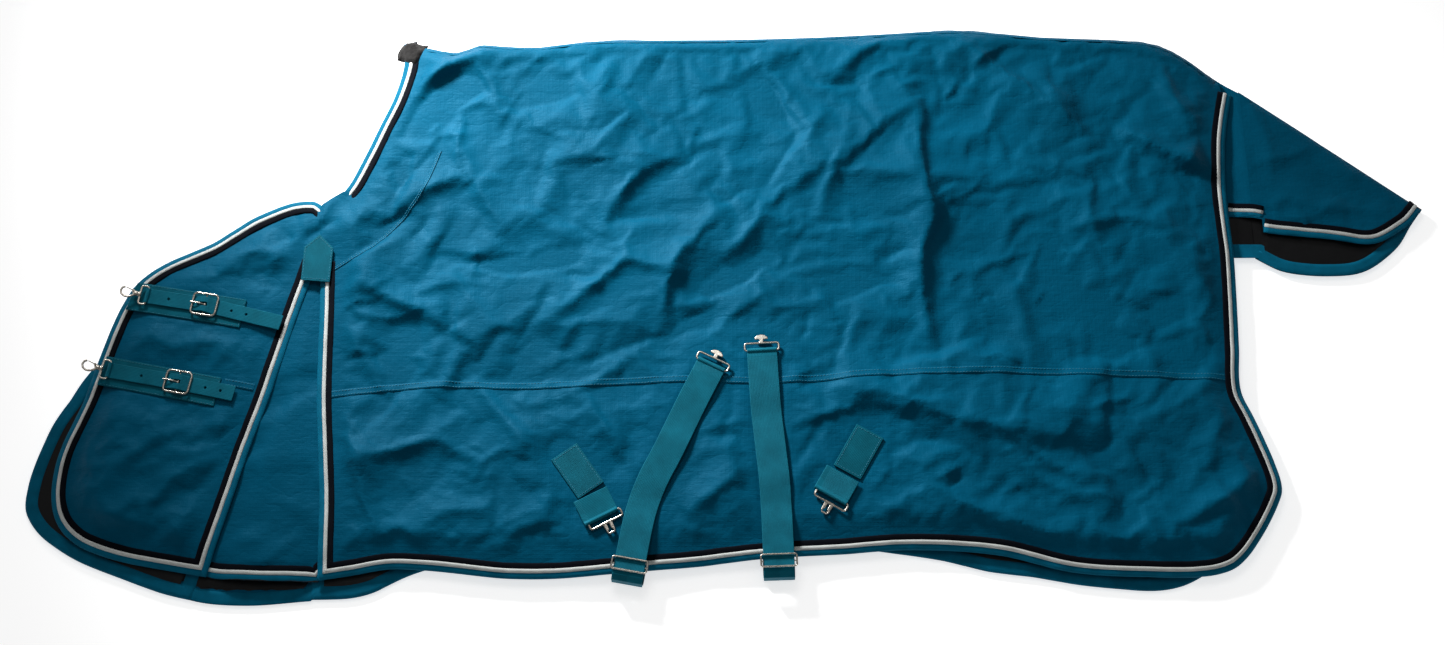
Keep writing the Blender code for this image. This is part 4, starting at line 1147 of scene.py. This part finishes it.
def near_level(k):
    return lambda plan: NEAR_BODY.levels(plan)[k]


def far_level(k):
    return lambda plan: FAR_BODY.levels(plan)[k]


back_seam("back_seam_cloth", near_level(1), far_level(0), SHELL, 0.0006, 0.0006)
back_seam("back_seam_lining", near_level(0), far_level(1), NYLON, 0.0025, -0.0005)


# ---- tail flap ---------------------------------------------------------------------------------
FLAP_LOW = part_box("tail_flap_far")[0].z
FLAP_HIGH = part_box("tail_flap_near")[1].z
FLAP_MIDDLE = (FLAP_LOW + FLAP_HIGH) / 2
FLAP_THICK = 0.0040


class Flap:
    """One half of the folded tail flap."""

    back = "lining"

    def __init__(self, node, near):
        self.near = near
        ring = outline(node)
        self.ring = np.roll(ring, -int(np.argmax(ring[:, 0])), axis=0)
        self.fold = self.ring[:3]
        self.hem = np.vstack([self.ring[3:], self.ring[:1]])

    def levels(self, plan):
        """Underside and upper side, drawn together at the fold and sagging a little at the hem."""
        r = np.clip(distance(plan, self.fold)[0] / 0.020, 0, 1)
        bend = np.sqrt(1 - (1 - r) ** 2)
        sag = 0.0035 * smoothstep((plan[:, 0] - 0.95) / 0.2)
        over = (FLAP_HIGH if self.near else FLAP_LOW + FLAP_THICK) - sag
        under = over - FLAP_THICK
        middle = FLAP_MIDDLE - sag + (HALF_GAP if self.near else -HALF_GAP)
        return middle + (under - middle) * bend, middle + (over - middle) * bend


def flap_half(node, flap, hem):
    """Both sheets of one half of the tail flap, and its binding."""
    two_sheets(
        node, flap, "tail_flap", 0.007,
        lambda plan: (
            small_creases(plan, 26, 0.10, 0.0018) + 0.0014 * facets(plan, 0.040, -0.6, 1.8)
            + main_folds(plan, TAIL_FOLDS if flap.near else [])
        ),
        (-0.0015, 0.0070 if flap.near else 0.0012),
    )
    bind_hem(f"{node}_hem0", hem, 0.008, flap, "tail_flap")


near_flap = Flap("tail_flap_near", True)
far_flap = Flap("tail_flap_far", False)
flap_half("tail_flap_near", near_flap, near_flap.hem[2:])
flap_half("tail_flap_far", far_flap, far_flap.hem)
flap_fold, _ = seam_fold(
    "tail_flap_fold", near_flap.fold, lambda plan: near_flap.levels(plan)[1],
    lambda plan: far_flap.levels(plan)[0], SHELL, 0.0006, 0.0006, 0.010,
)
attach(flap_fold, "tail_flap")


class TailRoot:
    """The cloth that the flap hangs from.  It climbs from the strip on the far half to the flap."""

    near = True

    def __init__(self, start_z, end_z):
        self.start_z, self.end_z = start_z, end_z

    def levels(self, plan):
        climb = smoothstep((plan[:, 0] - STRIP_END + 0.02) / 0.035)
        over = self.start_z + climb * (self.end_z - self.start_z)
        return over - 0.002, over


ROOT = near_flap.ring[2]                # where the flap's fold meets the rug
ROOT_LOW = far_flap.ring[3][1]
STEP = near_flap.hem[:2]                # the short hem between the strip and the flap's near half


def hang(made):
    """Fixes a piece where it lies, with its placement baked into its mesh."""
    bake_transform(made)


def tail_root(name, low, high, level, paint):
    """A strip of cloth across the hinge between two heights in Y; its top follows the flap's fold."""
    rows = []
    fall = (near_flap.ring[1] - ROOT)[1] / (near_flap.ring[1] - ROOT)[0]
    for x in np.linspace(STRIP_END - 0.048, ROOT[0] + 0.016, 24):
        top = min(high, ROOT[1] - 0.006 + fall * (x - ROOT[0]))
        across = np.linspace(low, top, 40)
        plan = np.column_stack([np.full(40, x), across])
        ripple = 0.0004 * np.sin(across * 90 + x * 40) + 0.0003 * np.sin(across * 37)
        rows.append(np.column_stack([plan, level.levels(plan)[1] + ripple]))
    made = skin(name, rows, paint, capped=False)
    hang(made)
    return made


INSIDE = FLAP_LOW + FLAP_THICK          # level of the flap's far half, on its lining side
outer_root = TailRoot(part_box("tail_flap_strip")[1].z - 0.0006, FLAP_HIGH - 0.0010)
inner_root = TailRoot(FAR_HIGH + 0.0008, INSIDE - 0.0010)
tape_root = TailRoot(FAR_HIGH + 0.0012, INSIDE + 0.0006)
root_cloth = tail_root("tail_root_cloth", STEP[0][1] + 0.003, 1.0, outer_root, SHELL)
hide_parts("tail_flap_strip")
tail_root("tail_root_lining", ROOT_LOW + 0.016, ROOT[1] - 0.012, inner_root, NYLON)
tail_root("tail_root_tape", ROOT_LOW, ROOT_LOW + BINDING, tape_root, TAPE)
STEP_START = [STRIP_END - 0.030, STEP[0][1] + 0.004]
bind_hem("tail_root_hem", [STEP_START, *STEP], 0.006, outer_root, None)


# ---- webbing -----------------------------------------------------------------------------------
SEWN_REACH = 0.009                      # how far a tab is drawn out over the patch it is sewn to


def drawn_over(points, path, patch):
    """Moves the end of a straight tab that is nearest to a CAD patch out over the patch."""
    aim = footprint(patch)[0].mean(0)
    way = path[0] - path[1]
    if np.linalg.norm(path[0] - aim) > np.linalg.norm(path[1] - aim):
        way = -way
    way /= np.linalg.norm(way)
    reach = points[:, :2] @ way
    points[:, :2] += SEWN_REACH * smoothstep((reach - reach.max() + 0.012) / 0.010)[:, None] * way
    points[:, 2] += 0.0004


def woven(node, body, paint=WEBBING, path=None, voxel=0.0007, sag=None, sewn_to=None):
    """Webbing made from its CAD piece, ribbed across the path that it follows."""
    made = bpy.data.objects.new(f"{node}_woven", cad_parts[node].data.copy())
    made.data.materials.clear()
    bpy.context.scene.collection.objects.link(made)
    worn(made, voxel, 3)
    points = places(baked(made))
    path = footprint(node)[0] if path is None else path
    if sewn_to:
        drawn_over(points, path, sewn_to)
    gap, where, side = distance(points[:, :2], path)
    if sag:
        points[:, 2] += sag(where)
    move_to(made, points)
    unwrap(made.data, np.column_stack([where, gap * side + 0.1 * points[:, 2]]))
    made.data.materials.append(paint)
    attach(made, body)
    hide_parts(node)


def strap_sag(path, phase):
    """Gentle waves in a belly strap between its slider and its hook."""
    length = run_length(path)[-1]

    def sag(where):
        free = smoothstep((where - 0.055) / 0.05) * smoothstep((length - 0.045 - where) / 0.04)
        waves = 0.0014 * np.sin(where * 38 + phase) + 0.0006 * np.sin(where * 91 + phase)
        return free * (waves - 0.0008)
    return sag


for phase, (end, line) in enumerate(STRAP_LINES.items()):
    woven(f"{end}_surcingle_strap", f"{end}_surcingle", path=line, sag=strap_sag(line, 1.7 * phase))
    woven(f"{end}_surcingle_anchor", "far_side")
    woven(f"{end}_receiver_patch", "near_side", PATCHING)
    woven(f"{end}_receiver_tab", "near_side", sewn_to=f"{end}_receiver_patch")
for place in ("upper", "lower"):
    woven(f"{place}_chest_band", "near_chest", PATCHING)
    woven(f"{place}_chest_chape", "near_chest", voxel=0.0005)
    woven(f"{place}_chest_strap", "near_chest", voxel=0.0005)
    woven(f"{place}_dee_tab", "far_chest", voxel=0.0005)
TAB_LINE = np.array([[SEAM_X, SHOULDER[1].y], [SEAM_X, SHOULDER[0].y]])
woven("gusset_tab", "near_side", PATCHING, path=TAB_LINE)


# ---- fittings ----------------------------------------------------------------------------------
def polish(node, voxel=0.00045):
    """Rounds the facets of a CAD fitting and plates it."""
    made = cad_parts[node]
    made.data.materials.clear()
    made.data.materials.append(NICKEL)
    worn(made, voxel, 5)


for end in ("front", "rear"):
    for part in ("t_hook", "slider", "receiver_clip"):
        polish(f"{end}_{part}")
for place in ("upper", "lower"):
    for part in ("snap_eye", "snap_hook", "buckle_frame", "buckle_tongue", "chest_dee"):
        polish(f"{place}_{part}", 0.00035)
    polish(f"{place}_snap_gate", 0.00022)


# ---- fleece at the withers ---------------------------------------------------------------------
def relaxed(values, faces, rounds):
    """Values on a mesh, each moved part of the way to its neighbours' mean, several times over."""
    pairs = np.array([(a, b) for face in faces for a, b in zip(face, [*face[1:], face[0]])])
    count = np.bincount(pairs.ravel(), minlength=len(values))
    for _ in range(rounds):
        total = np.bincount(pairs[:, 0], values[pairs[:, 1]], len(values))
        total += np.bincount(pairs[:, 1], values[pairs[:, 0]], len(values))
        values = (values + total / count) / 2
    return values


def fleece_patch():
    """A tufted pad over the withers, which follows the cloth and the binding under it."""
    ring = outline("withers_patch")
    ring = ring.mean(0) + (ring - ring.mean(0)) * 1.08
    plan, faces = sheet(ring, 0.0016)
    edge = distance(plan, closed(ring))[0]
    below = [bpy.data.objects[f"near_neck_binding_{part}"] for part in ("tape", "band", "cord")]
    floor = relaxed(Surface(near_body, *below).heights(plan, MIDDLE), faces, 12)
    tufts = 0.5 * facets(plan, 0.0030, 0.3, 1.0) + 0.5 * facets(plan, 0.0016, 0.8, 1.0)
    level = floor + 0.0050 * np.sqrt(smoothstep(edge / 0.007)) + 0.0008 * tufts - 0.0006
    made = mesh_piece("withers_fleece_pad", np.column_stack([plan, level]), faces, FLEECE)
    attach(made, "near_side")
    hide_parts("withers_patch")


fleece_patch()


# ---- sewing ------------------------------------------------------------------------------------
STITCH, STITCH_GAP = 0.0034, 0.0016     # length of a stitch, and from one to the next
THICKNESS = (0.0002, 0.00045, 0.0002)   # radius of the thread at a stitch's start, middle and end
THREAD_SIDES = 6
UP = np.array([0, 0, 1])


def stitches(name, paths, surface, body):
    """Rows of thread along plan paths, each stitch a small pill that dips at its ends."""
    points, faces, uv = [], [], []
    turns = 2 * math.pi * np.arange(THREAD_SIDES) / THREAD_SIDES
    for path in paths:
        run = run_length(path)
        starts = np.arange(STITCH_GAP, run[-1] - STITCH, STITCH + STITCH_GAP)
        spots = []
        for t in (0, 0.5, 1):
            plan = [np.interp(starts + t * STITCH, run, path[:, k]) for k in (0, 1)]
            height = surface.heights(np.column_stack(plan), NEAR_HIGH) + 0.0002
            spots.append(np.column_stack([*plan, height]))
        for first, middle, last in zip(*spots):
            way = (last - first) * (1, 1, 0)
            way /= np.linalg.norm(way)
            across = np.array([-way[1], way[0], 0])
            base = len(points)
            for t, (centre, radius) in enumerate(zip((first, middle, last), THICKNESS)):
                points += [centre + radius * (across * math.cos(a) + UP * math.sin(a)) for a in turns]
                uv += [(t * STITCH / 2, k * 0.0005) for k in range(THREAD_SIDES)]
            for start in (base, base + THREAD_SIDES):
                for k in range(THREAD_SIDES):
                    a, b = start + k, start + (k + 1) % THREAD_SIDES
                    faces.append((a, b, b + THREAD_SIDES, a + THREAD_SIDES))
    made = mesh_piece(name, points, faces, THREAD, uv)
    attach(made, body)


# Share of a seam's width from its middle, and height above the cloth.
SEAM_SECTION = [
    (-0.55, -0.0008), (-0.5, 0.0010), (-0.3, 0.0007), (0.1, 0.0006), (0.45, 0.0004), (0.55, -0.0006),
]


def felled_seam(name, path, body, width=0.012):
    """A lapped seam: a flat raised strip of shell cloth, sewn down along both sides."""
    path = smooth_path(path, 0.006)
    normal = left_of(path)
    rows = []
    for share, lift in SEAM_SECTION:
        plan = path + normal * width * share
        level = NEAR_TOP.heights(plan, NEAR_HIGH)
        rows.append(np.column_stack([plan, level + lift]))
    made = skin(name, np.stack(rows, axis=1), SHELL, capped=False)
    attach(made, body)
    rows = [path + normal * width * share for share in (-0.30, 0.32)]
    stitches(f"{name}_thread", rows, Surface(made), body)


def box_rows(node, margin):
    """A rectangle of sewing just inside a CAD patch."""
    (start, stop), half = footprint(node)
    way = (stop - start) / np.linalg.norm(stop - start)
    across = np.array([-way[1], way[0]]) * (half - margin)
    start, stop = start + way * margin, stop - way * margin
    corners = [start - across, stop - across, stop + across, start + across, start - across]
    return [np.array([a, b]) for a, b in zip(corners, corners[1:])]


def sewn_down(node, rows, body):
    """Sewing through a piece of webbing."""
    stitches(f"{node}_thread", rows, Surface(bpy.data.objects[f"{node}_woven"]), body)


felled_seam("flank_seam", FLANK_SEAM, "near_side")
felled_seam("chest_seam", CHEST_SEAM, "near_chest")
felled_seam("shoulder_seam", SHOULDER_SEAM, "near_side", 0.005)
for end in ("front", "rear"):
    sewn_down(f"{end}_receiver_patch", box_rows(f"{end}_receiver_patch", 0.0035), "near_side")
for place in ("upper", "lower"):
    sewn_down(f"{place}_chest_band", box_rows(f"{place}_chest_band", 0.0025), "near_chest")
tab_ring = outline("gusset_tab")
sewn_down("gusset_tab", [closed(tab_ring + (tab_ring.mean(0) - tab_ring) * 0.10)], "near_side")


# ---- stage -------------------------------------------------------------------------------------
def lamp(name, place, target, size, watts, cone=None):
    """A soft square lamp, or with a cone a spot whose light fades towards the cone's edge."""
    light = bpy.data.lights.new(name, "SPOT" if cone else "AREA")
    light.energy = watts
    if cone:
        light.spot_size, light.spot_blend = math.radians(cone), 1.0
        light.shadow_soft_size = size
    else:
        light.size = size
    made = bpy.data.objects.new(name, light)
    made.location = place
    made.rotation_euler = (Vector(target) - Vector(place)).to_track_quat("-Z", "Y").to_euler()
    bpy.context.scene.collection.objects.link(made)


def white_floor():
    """A pale floor that lies just under the far half's cords."""
    paint = Paint("pale_floor", 0.9, mapping="Object")
    tint = paint.mix(paint.noise(3.0, 2.0), (0.92, 0.92, 0.92, 1), (0.95, 0.95, 0.95, 1))
    side = 12.0
    corners = [(-side, -side, 0), (side, -side, 0), (side, side, 0), (-side, side, 0)]
    made = mesh_piece("floor", corners, [(0, 1, 2, 3)], paint.set(
        Base_Color=tint, Emission_Color=(1, 1, 1, 1), Emission_Strength=0.62,
    ))
    made.location.z = -0.0008


def camera():
    """Looks at the origin from 3 m away, 70 degrees above the floor, from the hem side."""
    away, elevation = 3.0, math.radians(70)
    made = bpy.data.objects.new("camera", bpy.data.cameras.new("camera"))
    made.location = (0, -away * math.cos(elevation), away * math.sin(elevation))
    made.rotation_euler = (math.pi / 2 - elevation, 0, 0)
    made.data.lens = 46.1
    bpy.context.scene.collection.objects.link(made)
    bpy.context.scene.camera = made


def daylight():
    """Even light all round, a strong lamp like a window at the withers, and a weak one overhead."""
    world = bpy.data.worlds.new("daylight")
    world.use_nodes = True
    world.node_tree.nodes["Background"].inputs["Color"].default_value = (1, 1, 1, 1)
    world.node_tree.nodes["Background"].inputs["Strength"].default_value = 0.24
    bpy.context.scene.world = world
    bpy.context.scene.view_settings.view_transform = "Standard"
    lamp("window", (-1.06, 1.57, 0.95), (-0.19, 0.40, 0), 0.22, 555, cone=64)
    lamp("sky", (-0.35, 1.05, 2.5), (-0.15, 0.1, 0), 1.0, 10)


white_floor()
camera()
daylight()
